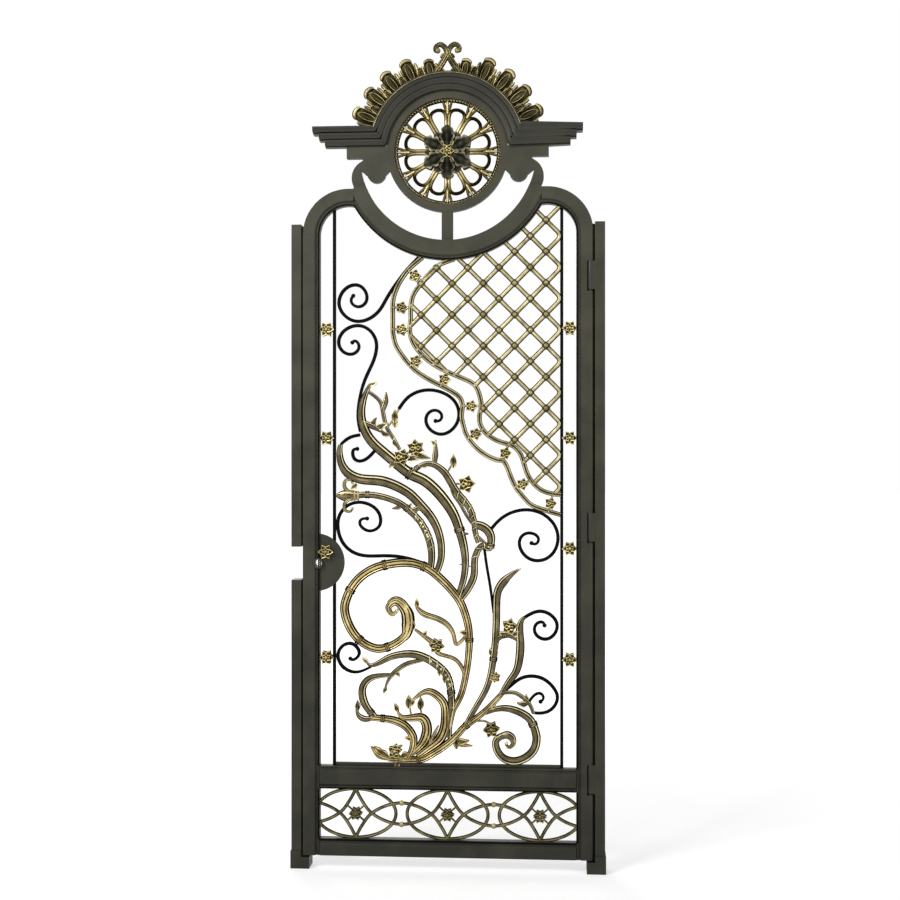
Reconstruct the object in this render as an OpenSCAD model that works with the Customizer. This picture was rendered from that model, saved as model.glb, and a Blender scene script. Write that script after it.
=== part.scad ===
// Wrought iron entrance gate: one arched leaf with a crown, hung between two rebated posts.
// Sizes are millimetres. +Z is up and -Y is the front. The origin lies under the hinge post.

/* [Leaf frame] */
// Width of the leaf over its stiles
leaf_w = 930; // [900:5:1000]
// Depth of the leaf frame, front to back
leaf_d = 40; // [36:1:50]
// Width of each stile seen from the front
stile_w = 54; // [46:1:62]
// Height of the leaf's underside above the ground
ground_gap = 43; // [42:1:80]
// Height of the bottom rail
bottom_rail_h = 54; // [40:1:70]
// Clear height of the low panel
low_panel_h = 160; // [130:5:200]
// Height of the middle rail
middle_rail_h = 74; // [60:1:90]
// Height of the main panel, from the middle rail to the crescent's lowest point
main_panel_h = 1622; // [1500:10:1700]
// Outer radius of the shoulder arches
shoulder_r = 147; // [135:1:155]

/* [Posts] */
// Clear gap between the leaf and the posts
leaf_gap = 5; // [5:0.5:8]
// Visible width of each post
post_w = 32; // [26:1:50]
// Width of the stop that each post carries behind the leaf
stop_w = 26; // [16:1:28]
// Gap between the back of the leaf and the stop
stop_gap = 6.5; // [6.5:0.5:12]
// Depth of the stop, front to back
stop_d = 18; // [12:1:30]
// Height of the shoe's tall side
shoe_h = 58; // [50:1:90]
// How far the shoe stands proud of its post
shoe_skin = 3; // [2:0.5:6]
// Height of the strike notch in the latch post
notch_h = 106; // [80:1:140]

/* [Hinges] */
// Radius of the hinge barrels, which is also the rounding of the hinge stile
barrel_r = 9; // [8:0.5:10]
// Height of a hinge barrel
barrel_h = 90; // [60:5:120]
// Radius of the hinge pins
pin_r = 5; // [4:0.25:6]
// How far a pin goes into the stile above and below its barrel
pin_reach = 22; // [15:1:30]

/* [Crown] */
// Inner radius of the crescent band
crescent_in_r = 284; // [278:1:290]
// Width of the crescent band
crescent_w = 63; // [55:1:70]
// Inner radius of the roundel ring
ring_in_r = 170; // [160:1:176]
// Outer radius of the roundel ring
ring_out_r = 194; // [190:1:198]
// Thickness of the crown plate
plate_d = 24; // [18:1:30]
// Half length of the cornice's top slab
cornice_half = 432; // [420:1:445]
// Length of a crest leaf
crest_leaf_l = 82; // [74:1:96]

/* [Ironwork] */
// Side of the square bars that frame the main panel
bar_t = 10; // [8:0.5:12]
// Half of the lattice's pitch across
lattice_step = 50; // [44:1:56]
// Width of a lattice bar
lattice_w = 11; // [8:0.5:14]
// Width of a lattice border bar
border_w = 12; // [9:0.5:15]
// Width of the black scrolls
scroll_w = 10; // [8:0.5:11]
// Depth of the bronzed stems
stem_d = 18; // [14:1:22]
// Radius of the lock bore
lock_bore_r = 12; // [9:0.5:13]

/* [Hidden] */
$fn = 64;
eps = 1;

// Levels and places that follow from the sizes
leaf_half = leaf_w / 2;
stile_in = leaf_half - stile_w;
leaf_front = -leaf_d / 2;
leaf_back = leaf_d / 2;
low_panel_z = ground_gap + bottom_rail_h;
middle_rail_z = low_panel_z + low_panel_h;
main_panel_z = middle_rail_z + middle_rail_h;
crescent_out_r = crescent_in_r + crescent_w;
crown_z = main_panel_z + main_panel_h + crescent_out_r;
// Shoulder centres, and the half width where the shoulders meet the crescent
shoulder_drop = 117;
shoulder_top = crown_z - shoulder_drop;
shoulder_z = shoulder_top - shoulder_r;
shoulder_x = leaf_half - shoulder_r;
join_x = floor(sqrt(pow(crescent_out_r, 2) - pow(shoulder_drop + stile_w, 2)));
// Posts, hinges and lock
post_in = leaf_half + leaf_gap;
post_out = post_in + post_w;
post_x = (post_in - stop_w + post_out) / 2;
post_rise = 34;
post_top = shoulder_z + post_rise;
stop_y = leaf_back + stop_gap;
post_back = stop_y + stop_d;
toe_gap = leaf_gap + 1;
toe_h = ground_gap - toe_gap;
axis_x = leaf_half - barrel_r;
axis_y = leaf_front + barrel_r;
notch_clear = 2;
seat = 0.3;
pin_fit = 0.05;
// Hinge heights: above the middle rail's underside, above the panel's foot and below the shoulder's centre
low_hinge_rise = 43;
middle_hinge_rise = 769;
high_hinge_drop = 136;
knuckle_heights = [middle_rail_z + low_hinge_rise, main_panel_z + middle_hinge_rise,
    shoulder_z - high_hinge_drop];
lock_inset = 5;
lock_rise = 650;
lock_sleeve_wall = 5;
lock_sleeve_proud = 2;
lock_x = -stile_in - lock_inset;
lock_z = main_panel_z + lock_rise;
lock_sleeve_r = lock_bore_r + lock_sleeve_wall;
lock_plate_r = 93;
lock_plate_t = 5;
lock_plate_inset = 13;
lock_plate_rise = 3;
// Crown levels above its centre
ear_drop = 110;
ear_mid_drop = 82;
ear_r = 60;
ear_inset = 36;
ear_half = 24;
lobe_r = 30;
lobe_inset = 56;
lobe_drop = 68;
lobe_neck_half = 21;
lobe_neck_drop = 15;
lobe_root = 2;
opening_drop = 58;
frieze_drop = 19;
frieze_rise = 17;
frieze_set_back = 108;
ear_z = crown_z - ear_drop;
ear_x = crescent_in_r - ear_inset;
lobe_x = crescent_in_r - lobe_inset;
frieze_low = crown_z - frieze_drop;
frieze_high = crown_z + frieze_rise;
frieze_half = cornice_half - frieze_set_back;
strut_half = 18;
strut_seat = 20;
arch_rise = 56;
arch_r = ring_out_r + arch_rise;
// Ironwork depths and small sizes
bar_gap = 46;
bar_x = stile_in - bar_gap;
iron_d = 12;
scroll_d = 10;
thin_scroll_w = 7;
scroll_bulb_r = 6.5;
volute_bulb_r = 13;
scroll_eye_r = 11;
bloom_d = 26;
rosette_d = 18;
border_rosette_r = 18;
rosette_gap = 0.2;
side_rosette_r = (stile_in - bar_x - bar_t / 2) / 2 - rosette_gap;
panel_rosette_r = 20;
rosette_petals = 8;
bloom_petals = 6;
stalk_w = 6;
link_w = 8;
oval_w = 8;
lattice_z = 1347;
lattice_span = 600;
border_proud = 2;
iron_black = [0.12, 0.12, 0.11];
iron_grey = [0.3, 0.29, 0.26];
iron_gold = [0.6, 0.5, 0.28];

// Puts the gate's middle line beside the origin under the hinge post
module in_place() {
    translate([-post_x, 0, 0]) children();
}

// A front-view outline given depth about the leaf's middle plane
module upright(d) {
    rotate([90, 0, 0]) translate([0, 0, -d / 2]) linear_extrude(d) children();
}

// A box from its low corner to its high corner
module block(a, b) {
    translate(a) cube([b[0] - a[0], b[1] - a[1], b[2] - a[2]]);
}

// A round about a front-to-back line through the given place
module disc(x, z, r, d) {
    translate([x, 0, z]) rotate([90, 0, 0]) cylinder(r = r, h = d, center = true);
}

// Section of a frame bar: distance from its panel edge, and depth, with a bead and bevel at that edge
edge_steps = [[0, 7], [2, 4], [6, 4], [8, 7], [10, 7], [16, 0]];
function edge_front(d) = [for (s = edge_steps) [s[0], -d / 2 + s[1]]];
function back_of(f) = [for (i = [len(f) - 1 : -1 : 0]) [f[i][0], -f[i][1]]];
function one_edge(w, d) = let (f = concat(edge_front(d), [[w, -d / 2]])) concat(f, back_of(f));
function two_edges(w, d) = let (e = edge_front(d), n = len(e) - 1,
    f = concat(e, [for (i = [n : -1 : 0]) [w - e[i][0], e[i][1]]])) concat(f, back_of(f));

// A post with its stop, for the hinge side
module post_bar() {
    translate([0, 0, shoe_h]) linear_extrude(post_top - shoe_h) polygon([
        [post_in, leaf_front], [post_out, leaf_front], [post_out, post_back],
        [post_in - stop_w, post_back], [post_in - stop_w, stop_y], [post_in, stop_y]]);
}

module shoe_block() {
    block([post_in, leaf_front - shoe_skin, 0], [post_out + shoe_skin, post_back + shoe_skin, shoe_h]);
    block([post_in - stop_w, leaf_front - shoe_skin, 0], [post_in, post_back + shoe_skin, toe_h]);
    block([post_in - stop_w, stop_y, 0], [post_in, post_back, shoe_h]);
}

module hinge_post() {
    color(iron_grey) post_bar();
}

// The strike notch goes through the visible strip and leaves the stop whole
module latch_post() {
    color(iron_grey) difference() {
        mirror([1, 0, 0]) post_bar();
        block([-post_out - eps, leaf_front - eps, lock_z - notch_h / 2],
            [-post_in, post_back + eps, lock_z + notch_h / 2]);
    }
}

module hinge_post_shoe() {
    color(iron_grey) shoe_block();
}

module latch_post_shoe() {
    color(iron_grey) mirror([1, 0, 0]) shoe_block();
}

// Fixed barrels on the hinge post, each with a pin that reaches into the stile
module hinge_knuckles() {
    color(iron_black) for (z = knuckle_heights) translate([axis_x, axis_y, z]) {
        cylinder(r = barrel_r, h = barrel_h, center = true);
        cylinder(r = pin_r, h = barrel_h + 2 * pin_reach, center = true);
        block([0, -barrel_r, -barrel_h / 2], [barrel_r + leaf_gap, 0, barrel_h / 2]);
    }
}

// Trims the front outer edge of the hinge side to a round about the hinge axis
module heel_cut() {
    difference() {
        block([axis_x, leaf_front - eps, 0], [leaf_half + eps, axis_y, crown_z]);
        translate([axis_x, axis_y, -eps]) cylinder(r = barrel_r, h = crown_z + 3 * eps);
    }
}

module stile_bar() {
    translate([stile_in, 0, ground_gap]) linear_extrude(shoulder_z - ground_gap) polygon(one_edge(stile_w, leaf_d));
}

module hinge_stile() {
    color(iron_grey) difference() {
        stile_bar();
        heel_cut();
        for (z = knuckle_heights) {
            block([axis_x - barrel_r - notch_clear, leaf_front - eps, z - barrel_h / 2 - leaf_gap],
                [leaf_half + eps, axis_y + barrel_r + notch_clear, z + barrel_h / 2 + seat]);
            translate([axis_x, axis_y, z])
                cylinder(r = pin_r + pin_fit, h = barrel_h + 2 * pin_reach + 2, center = true);
        }
    }
}

module latch_stile() {
    color(iron_grey) difference() {
        mirror([1, 0, 0]) stile_bar();
        disc(lock_x, lock_z, lock_sleeve_r + seat, leaf_d + 2 * eps);
    }
}

// A rail between the stiles, from its section given as depth and height
module rail(section) {
    translate([-stile_in, 0, 0]) rotate([90, 0, 90]) linear_extrude(2 * stile_in) polygon(section);
}

module bottom_rail() {
    color(iron_grey) rail([for (p = one_edge(bottom_rail_h, leaf_d)) [p[1], low_panel_z - p[0]]]);
}

module middle_rail() {
    color(iron_grey) rail([for (p = two_edges(middle_rail_h, leaf_d)) [p[1], middle_rail_z + p[0]]]);
}

// Quarter arch with its short run to the crescent, for the hinge side
module shoulder_arch() {
    under_r = shoulder_r - stile_w;
    difference() {
        translate([shoulder_x, 0, shoulder_z]) rotate([90, 0, 0]) rotate_extrude(angle = 90)
            polygon([for (p = one_edge(stile_w, leaf_d)) [under_r + p[0], p[1]]]);
        block([0, -leaf_d, shoulder_z - eps], [join_x, leaf_d, crown_z]);
    }
    if (shoulder_x > join_x) translate([shoulder_x, 0, 0]) rotate([90, 0, -90])
        linear_extrude(shoulder_x - join_x)
            polygon([for (p = one_edge(stile_w, leaf_d)) [p[1], shoulder_top - stile_w + p[0]]]);
}

module hinge_shoulder() {
    color(iron_grey) difference() {
        shoulder_arch();
        heel_cut();
    }
}

module latch_shoulder() {
    color(iron_grey) mirror([1, 0, 0]) shoulder_arch();
}

module crescent_band() {
    color(iron_grey) intersection() {
        translate([0, 0, crown_z]) rotate([90, 0, 0]) rotate_extrude()
            polygon([for (p = one_edge(crescent_w, leaf_d)) [crescent_out_r - p[0], p[1]]]);
        block([-join_x, -leaf_d, main_panel_z], [join_x, leaf_d, ear_z]);
    }
}

// A lobe that hangs between the ring and the crescent, for the hinge side: round, from a root as wide as the gap
module lobe() {
    ring_x = sqrt(pow(ring_out_r, 2) - pow(opening_drop, 2)) - lobe_root;
    crescent_x = sqrt(pow(crescent_in_r, 2) - pow(opening_drop, 2)) + lobe_root;
    neck_z = -lobe_drop - lobe_neck_drop;
    disc(lobe_x, crown_z - lobe_drop, lobe_r, plate_d + 4 * eps);
    translate([0, 0, crown_z]) upright(plate_d + 4 * eps) polygon([
        [ring_x, eps - opening_drop], [crescent_x, eps - opening_drop],
        [lobe_x + lobe_neck_half, neck_z], [lobe_x - lobe_neck_half, neck_z]]);
}

// Ears, lobes, frieze and ring cut from one plate
module crown_plate() {
    color(iron_grey) difference() {
        union() {
            for (s = [-1, 1]) disc(s * ear_x, crown_z - ear_mid_drop, ear_r, plate_d);
            block([-frieze_half, -plate_d / 2, frieze_low], [frieze_half, plate_d / 2, frieze_high]);
            block([-ear_x - ear_half, -plate_d / 2, ear_z], [ear_x + ear_half, plate_d / 2, frieze_low]);
            disc(0, crown_z, ring_out_r, plate_d);
        }
        difference() {
            disc(0, crown_z, crescent_in_r, plate_d + 2 * eps);
            block([-leaf_half, -plate_d, crown_z - opening_drop], [leaf_half, plate_d, crown_z + crescent_in_r]);
            lobe();
            mirror([1, 0, 0]) lobe();
            disc(0, crown_z, ring_out_r, plate_d + 4 * eps);
        }
        disc(0, crown_z, ring_in_r, plate_d + 2 * eps);
        difference() {
            block([-leaf_half, -plate_d, crown_z - ring_out_r], [leaf_half, plate_d, ear_z]);
            disc(0, crown_z, ring_out_r, 3 * plate_d);
        }
    }
}

// Short upright between the ring and the crescent
module roundel_strut() {
    color(iron_grey) difference() {
        block([-strut_half, -plate_d / 2, crown_z - crescent_in_r - strut_seat],
            [strut_half, plate_d / 2, crown_z - ring_out_r + strut_seat]);
        disc(0, crown_z, ring_out_r, leaf_d);
        difference() {
            disc(0, crown_z, crescent_out_r, leaf_d);
            disc(0, crown_z, crescent_in_r, leaf_d + eps);
        }
    }
}

// Cornice mouldings: low and high level, set back at the ends, reach over the ring, depth
cornice_steps = [[17, 39, 39, 18, 52], [39, 59, 20, 38, 62], [59, 81, 0, 56, 74]];

module cornice() {
    color(iron_grey) difference() {
        union() {
            for (c = cornice_steps) {
                block([-cornice_half + c[2], -c[4] / 2, crown_z + c[0]],
                    [cornice_half - c[2], c[4] / 2, crown_z + c[1]]);
                intersection() {
                    disc(0, crown_z, ring_out_r + c[3], c[4]);
                    block([-leaf_half, -leaf_d, frieze_high], [leaf_half, leaf_d, crown_z + leaf_half]);
                }
            }
        }
        disc(0, crown_z, ring_out_r, 3 * leaf_d);
    }
}

// Tracery of the rose: petal openings between spokes, with a slot over each
spokes = 12;
spoke_w = 7;
rose_hub_r = 34;
petal_inset = 62;
slot_inset = 28;
slot_rim = 12;
slot_half = 9;
petal_turn = 180 / spokes;
function petal(r0, rc) = let (s = spoke_w / 2, e = rc * sin(petal_turn) - s) concat(
    [[r0, s - r0 * sin(petal_turn)], [rc, -e]],
    [for (a = [-75 : 15 : 75]) [rc + e * cos(a), e * sin(a)]],
    [[rc, e], [r0, r0 * sin(petal_turn) - s]]);
function slot(r0, r1, half) = concat([for (a = [-half : half / 2 : half]) r0 * [cos(a), sin(a)]],
    [for (a = [half : -half / 2 : -half]) r1 * [cos(a), sin(a)]]);

module rose_window() {
    color(iron_gold) translate([0, 0, crown_z]) upright(iron_d) difference() {
        circle(r = ring_in_r);
        for (k = [0 : spokes - 1]) rotate(petal_turn * (2 * k + 1)) {
            polygon(petal(rose_hub_r, ring_in_r - petal_inset));
            polygon(slot(ring_in_r - slot_inset, ring_in_r - slot_rim, slot_half));
        }
    }
}

// Leafy boss on both faces of the rose
boss_leaves = 6;
boss_r = 57;
boss_wave = 24;
boss_t = 16;

module rose_boss() {
    color(iron_grey) for (s = [-1, 1]) translate([0, s * (iron_d + boss_t) / 2, crown_z]) upright(boss_t)
        rotate(180 / boss_leaves)
            polygon([for (a = [0 : 4 : 356]) (boss_r + boss_wave * cos(boss_leaves * a)) * [cos(a), sin(a)]]);
}

// Crest leaf outline from its base, half of it: share of the length, and half width
leaf_edge = [[0, 14], [0.14, 22], [0.26, 21], [0.4, 26], [0.56, 24], [0.72, 25], [0.88, 18], [0.97, 12], [1, 6]];
function leaf_half_outline(size) = [for (p = leaf_edge) [p[0] * size * crest_leaf_l, p[1] * (1 + size) / 2]];
function leaf_outline(size) = let (h = leaf_half_outline(size))
    concat(h, [for (i = [len(h) - 1 : -1 : 0]) [h[i][0], -h[i][1]]]);
crest_turn = 13.5;
crest_first = 24;
crest_last = 4;
crest_short = 0.62;
crest_d = 14;
crest_seat = 2;

module crest() {
    translate([0, 0, crown_z]) for (k = [0 : crest_last]) upright(crest_d)
        rotate(crest_first + k * crest_turn) translate([arch_r - crest_seat, 0])
            polygon(leaf_outline(k == crest_last ? crest_short : 1));
}

module left_crest() {
    color(iron_grey) mirror([1, 0, 0]) crest();
}

module right_crest() {
    color(iron_grey) crest();
}

// Half of the top ornament, as places beside and above the top of the arch
finial_line = [[-48, -4], [-37, 9], [-24, 25], [-11, 45], [-2, 65], [-7, 83], [-22, 95], [-37, 88], [-39, 76],
    [-30, 71]];
finial_leaf = [[-3, 63], [-14, 60], [-23, 53]];
finial_line_w = [15, 17, 16, 14, 12, 10, 8];
finial_leaf_w = [8, 10, 3];
finial_d = 16;

module crest_finials() {
    color(iron_gold) translate([0, 0, crown_z + arch_r]) upright(finial_d) for (s = [0, 1]) mirror([s, 0]) {
        polygon(ribbon(smooth(finial_line), finial_line_w));
        polygon(ribbon(smooth(finial_leaf), finial_leaf_w));
    }
}

module panel_bar() {
    intersection() {
        block([bar_x - bar_t / 2, -bar_t / 2, main_panel_z], [bar_x + bar_t / 2, bar_t / 2, crown_z]);
        union() {
            disc(shoulder_x, shoulder_z, shoulder_r - stile_w, leaf_d);
            block([shoulder_x, -leaf_d, main_panel_z], [leaf_half, leaf_d, shoulder_z]);
        }
    }
}

module left_bar() {
    color(iron_black) mirror([1, 0, 0]) panel_bar();
}

module right_bar() {
    color(iron_black) panel_bar();
}

module panel_sill() {
    color(iron_black) block([-panel_half, -bar_t / 2, main_panel_z], [panel_half, bar_t / 2, sill_top]);
}

// Rosettes between the bars and the stiles, by height above the middle rail
rosette_heights = [347, 1053, 1403];
lock_rosette_z = 688;
hinge_rosette_rise = 13;

module right_rosettes() {
    color(iron_gold) for (h = concat(rosette_heights, [lock_rosette_z + hinge_rosette_rise]))
        rosette((stile_in + bar_x + bar_t / 2) / 2, main_panel_z + h, side_rosette_r, rosette_d);
}

// On the lock side the third rosette lies on the lock plate
module left_rosettes() {
    x = -(stile_in + bar_x + bar_t / 2) / 2;
    color(iron_gold) {
        for (h = rosette_heights) rosette(x, main_panel_z + h, side_rosette_r, rosette_d);
        translate([x, -bar_t / 2 - lock_plate_t - rosette_d / 4, main_panel_z + lock_rosette_z])
            upright(rosette_d / 2) flower_outline(side_rosette_r, rosette_petals);
    }
}

// Plate in front of the left bar, with a sleeve for the lock cylinder through the stile
module lock_plate() {
    color(iron_black) difference() {
        union() {
            difference() {
                translate([0, -bar_t / 2 - lock_plate_t / 2, 0])
                    disc(-stile_in - lock_plate_inset, lock_z + lock_plate_rise, lock_plate_r, lock_plate_t);
                block([-leaf_w, -leaf_d, 0], [-stile_in, leaf_d, crown_z]);
            }
            disc(lock_x, lock_z, lock_sleeve_r, leaf_d + 2 * lock_sleeve_proud);
        }
        disc(lock_x, lock_z, lock_bore_r, leaf_d + 2 * (lock_sleeve_proud + eps));
    }
}

// Smooth line through hand-set points
line_steps = 2;
function curve(a, b, c, d, t) = 0.5 * (2 * b + (c - a) * t + (2 * a - 5 * b + 4 * c - d) * t * t
    + (3 * b - a - 3 * c + d) * t * t * t);
function smooth(p) = let (n = len(p) - 1) concat(
    [for (i = [0 : n - 1], j = [0 : line_steps - 1])
        curve(p[max(i - 1, 0)], p[i], p[i + 1], p[min(i + 2, n)], j / line_steps)], [p[n]]);
function side(q, i) = let (n = len(q) - 1, t = q[min(i + 1, n)] - q[max(i - 1, 0)])
    [-t[1], t[0]] / norm(t);
// Width along a line, from evenly spaced values
function width_at(w, t) = len(w) == 1 ? w[0] : let (k = t * (len(w) - 1), i = min(floor(k), len(w) - 2))
    w[i] + (w[i + 1] - w[i]) * (k - i);
function ribbon(q, w) = let (n = len(q) - 1) concat(
    [for (i = [0 : n]) q[i] + side(q, i) * width_at(w, i / n) / 2],
    [for (i = [n : -1 : 0]) q[i] - side(q, i) * width_at(w, i / n) / 2]);

// Setting-out grid of the main panel: half its clear width, and the rows of the sill's top and of the panel's head
grid_half = 112.5;
sill_row = 3.125;
head_row = 506.875;
square_side = 3.2;
panel_half = bar_x - bar_t / 2;
sill_top = main_panel_z + bar_t;
square_w = panel_half / grid_half;
square_h = (main_panel_h - bar_t) / (head_row - sill_row);
function place(p) = [p[0] * square_w, sill_top + (p[1] - sill_row) * square_h];
// Share of their drawn size that leaves and stems keep when the panel's squares get smaller or larger
grid_fit = min(square_w, square_h) / square_side;

// A bar laid along points of the setting-out grid
module stroke(points, w, d) {
    upright(d) polygon(ribbon(smooth([for (p = points) place(p)]), w));
}

// A leafy stem along points of the grid, with its widths
module stem(points, w) {
    stroke(points, grid_fit * w, stem_d);
}

// A scroll of plain bar with a round bead on one end, the first or the last
module scroll(points, bead_end) {
    stroke(points, [scroll_w], scroll_d);
    bead(points[bead_end == "first" ? 0 : len(points) - 1], scroll_bulb_r, scroll_d);
}

// A round bead on the grid
module bead(p, r, d) {
    disc(place(p)[0], place(p)[1], r, d);
}

// Flower outline with a wavy edge
module flower_outline(r, petals) {
    polygon([for (a = [0 : 10 : 350]) r * (0.85 + 0.15 * cos(petals * a)) * [cos(a), sin(a)]]);
}

// A rosette facing front and back, in front-view place
module rosette(x, z, r, d) {
    translate([x, 0, z]) {
        upright(d) flower_outline(r, rosette_petals);
        disc(0, 0, 0.4 * r, 1.6 * d);
    }
}

// Lattice, its wavy border and the rosettes on it
border_in = [[7, 508], [-7, 503], [-17, 495], [-28, 482], [-35, 471], [-37, 458], [-37, 448], [-38, 436],
    [-35, 425], [-29, 416], [-20, 407], [-8, 399], [7, 392], [21, 386], [28, 381], [32, 372], [34, 361],
    [32, 351], [33, 342], [39, 333], [50, 326], [60, 323], [67, 320], [73, 313], [76, 305], [79, 295],
    [84, 286], [92, 278], [101, 274], [114, 272]];
border_out = [[-25, 510], [-38, 499], [-47, 487], [-52, 477], [-55, 466], [-55, 448], [-55, 435], [-52, 422],
    [-45, 411], [-36, 400], [-26, 392], [-14, 385], [0, 378], [12, 370], [15, 361], [14, 351], [16, 341],
    [19, 332], [27, 321], [38, 312], [49, 307], [56, 306], [60, 299], [63, 291], [68, 280], [75, 271],
    [84, 262], [97, 257], [114, 252]];
// Rosettes on the border: place and the slant of the link behind each
border_flowers = [[-33, 492, -42], [-46, 460, 0], [-46, 438, 0], [-32, 406, 42], [-3, 388, 63], [24, 361, 0],
    [28, 333, 32], [58, 314, 72], [75, 283, 24], [103, 264, 76]];

// A link's half length in squares, and its two ends
link_half = 9.375;
function link_end(f, s) = [f[0], f[1]] + s * link_half * [cos(f[2]), sin(f[2])];

module lattice() {
    under_r = shoulder_r - stile_w;
    start = acos((panel_half - shoulder_x) / under_r);
    foot = place(border_in[len(border_in) - 1])[1];
    field = concat([for (p = smooth(border_in)) place(p)], [[panel_half, foot]],
        [for (i = [0 : 6]) let (a = start + (90 - start) * i / 6)
            [shoulder_x + under_r * cos(a), shoulder_z + under_r * sin(a)]],
        [[join_x, shoulder_top - stile_w]]);
    reach = ceil(lattice_span / (2 * lattice_step));
    color(iron_gold) difference() {
        union() for (s = [-1, 1], k = [-reach : reach - 1]) intersection() {
            upright(iron_d) polygon(field);
            translate([bar_x - lattice_step + 2 * k * lattice_step, 0, main_panel_z + lattice_z])
                rotate([0, 45 * s, 0]) cube([main_panel_h, 2 * iron_d, lattice_w], center = true);
        }
        disc(0, crown_z, crescent_out_r, leaf_d);
        block([panel_half, -leaf_d, 0], [leaf_half, leaf_d, crown_z]);
    }
}

module lattice_border() {
    color(iron_grey) difference() {
        union() {
            stroke(border_in, [border_w], iron_d + 2 * border_proud);
            stroke(border_out, [border_w], iron_d + 2 * border_proud);
            for (f = border_flowers) stroke([link_end(f, -1), link_end(f, 1)], [link_w], iron_d);
        }
        disc(0, crown_z, crescent_out_r, leaf_d);
        block([panel_half, -leaf_d, 0], [leaf_half, leaf_d, crown_z]);
    }
}

module border_rosettes() {
    color(iron_gold) for (f = border_flowers, s = [-1, 1])
        translate([place(f)[0], s * (iron_d / 2 + rosette_d / 4), place(f)[1]])
            upright(rosette_d / 2) flower_outline(border_rosette_r, bloom_petals);
}

// Black scrolls of plain bar
top_scroll = [[-29, 510], [-41, 498], [-50, 486], [-60, 472], [-65, 462], [-70, 455], [-79, 448], [-90, 445.5],
    [-99, 448], [-107, 455], [-111, 466], [-105, 479], [-94, 484], [-85, 481], [-80, 471], [-83, 463],
    [-90, 460], [-96, 463], [-98, 468], [-95, 472]];
under_scroll = [[-96, 425], [-93, 428], [-88, 422], [-91, 415], [-99, 412], [-108, 417], [-111, 427],
    [-105, 438], [-91, 443.5], [-79, 439], [-72, 429], [-71, 419], [-74, 407], [-79, 397], [-84, 386],
    [-87, 376], [-90, 362], [-91, 347], [-88, 335]];
middle_scroll = [[-49, 358], [-45, 364], [-39, 371], [-29, 376], [-17, 377], [-8, 375], [2, 371], [10, 363],
    [12, 356], [11, 351], [8, 341], [0, 333], [-7, 331], [-16, 336], [-22, 342], [-23, 347], [-20, 353],
    [-15, 357], [-9, 356], [-5, 351], [-7, 346], [-12, 346]];
leaf_scroll = [[-88, 332], [-95, 331], [-102, 328], [-108, 322]];
stem_curl = [[-70, 320], [-76, 313], [-81, 308], [-88, 305], [-94, 307], [-96, 313], [-95, 318], [-91, 318]];
long_scroll = [[-20, 201], [-31, 206], [-47, 210], [-62, 211], [-77, 210], [-88, 211], [-98, 215], [-106, 223],
    [-110, 233], [-111, 242], [-110, 250], [-105, 258], [-98, 263], [-88, 265], [-77, 262], [-69, 255],
    [-67, 247], [-68, 240], [-74, 236], [-80, 235], [-87, 239], [-89, 244], [-87, 248], [-81, 248]];
low_scroll = [[-98, 107], [-95, 105], [-90, 109], [-88, 114], [-93, 121], [-99, 123], [-107, 120], [-111, 112],
    [-110, 105], [-105, 97], [-95, 93], [-87, 94], [-77, 99]];
knot_scroll = [[43, 237], [50, 246], [59, 253], [70, 257], [79, 257], [90, 255], [100, 247], [108, 237],
    [111, 229], [108, 219], [100, 210], [90, 206], [81, 208], [74, 216], [71, 224], [74, 232], [82, 235],
    [90, 232], [92, 227], [88, 222], [84, 224]];
knot_rod = [[37, 218], [39, 202], [42, 186], [44, 173], [46, 154]];
small_scroll = [[76, 149], [85, 155], [95, 157], [105, 152], [111, 143], [107, 132], [98, 127], [89, 131],
    [86, 138], [89, 145], [96, 146], [97, 142]];
wide_scroll = [[63, 81], [73, 90], [85, 92], [98, 89], [108, 78], [111, 69], [105, 58], [95, 54], [85, 55]];
twig_curl = [[81, 65], [87, 74], [94, 75], [97, 69], [93, 66]];

module upper_scrolls() {
    color(iron_black) {
        scroll(top_scroll, "last");
        scroll(under_scroll, "first");
    }
}

module centre_scroll() {
    color(iron_black) scroll(middle_scroll, "last");
}

module left_scrolls() {
    color(iron_black) {
        stroke(leaf_scroll, [scroll_w], scroll_d);
        scroll(stem_curl, "last");
        scroll(long_scroll, "last");
        scroll(low_scroll, "first");
    }
}

module right_scrolls() {
    color(iron_black) {
        scroll(knot_scroll, "last");
        stroke(knot_rod, [thin_scroll_w], scroll_d);
        scroll(small_scroll, "last");
        stroke(wide_scroll, [scroll_w], scroll_d);
        stroke(twig_curl, [thin_scroll_w], scroll_d);
    }
}

// Bronzed stems, each a list of points on the grid
main_line = [[-75, 385], [-79, 381], [-85, 367], [-87, 355], [-86, 345], [-82, 334], [-75, 324], [-65, 315],
    [-53, 305], [-38, 293], [-24, 287], [-12, 277], [-1, 264], [7, 251], [12, 237], [16, 222], [18, 207],
    [17, 192], [14, 180], [10, 169]];
tendril_line = [[-82, 377], [-72, 370], [-67, 364], [-65, 355], [-63, 345], [-60, 337], [-54, 328], [-48, 317]];
tendril_spike = [[-65, 358], [-62, 366], [-62, 375]];
antler_line = [[-86, 345], [-76, 341], [-62, 333]];
vine_line = [[-37, 294], [-26, 302], [-16, 303], [-8, 299], [-1, 292], [9, 275], [17, 266], [23, 257], [26, 248],
    [27, 242], [28, 233], [31, 224]];
vine_spike = [[-14, 301], [-12, 312], [-12, 327]];
vine_strand = [[3, 284], [6, 272], [12, 264], [17, 255], [22, 247], [27, 241]];
vine_loop = [[27, 242], [34, 241], [41, 236], [44, 228], [42, 218], [36, 222], [30, 216], [27, 206], [27, 193],
    [24, 184], [19, 175], [13, 167]];
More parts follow.
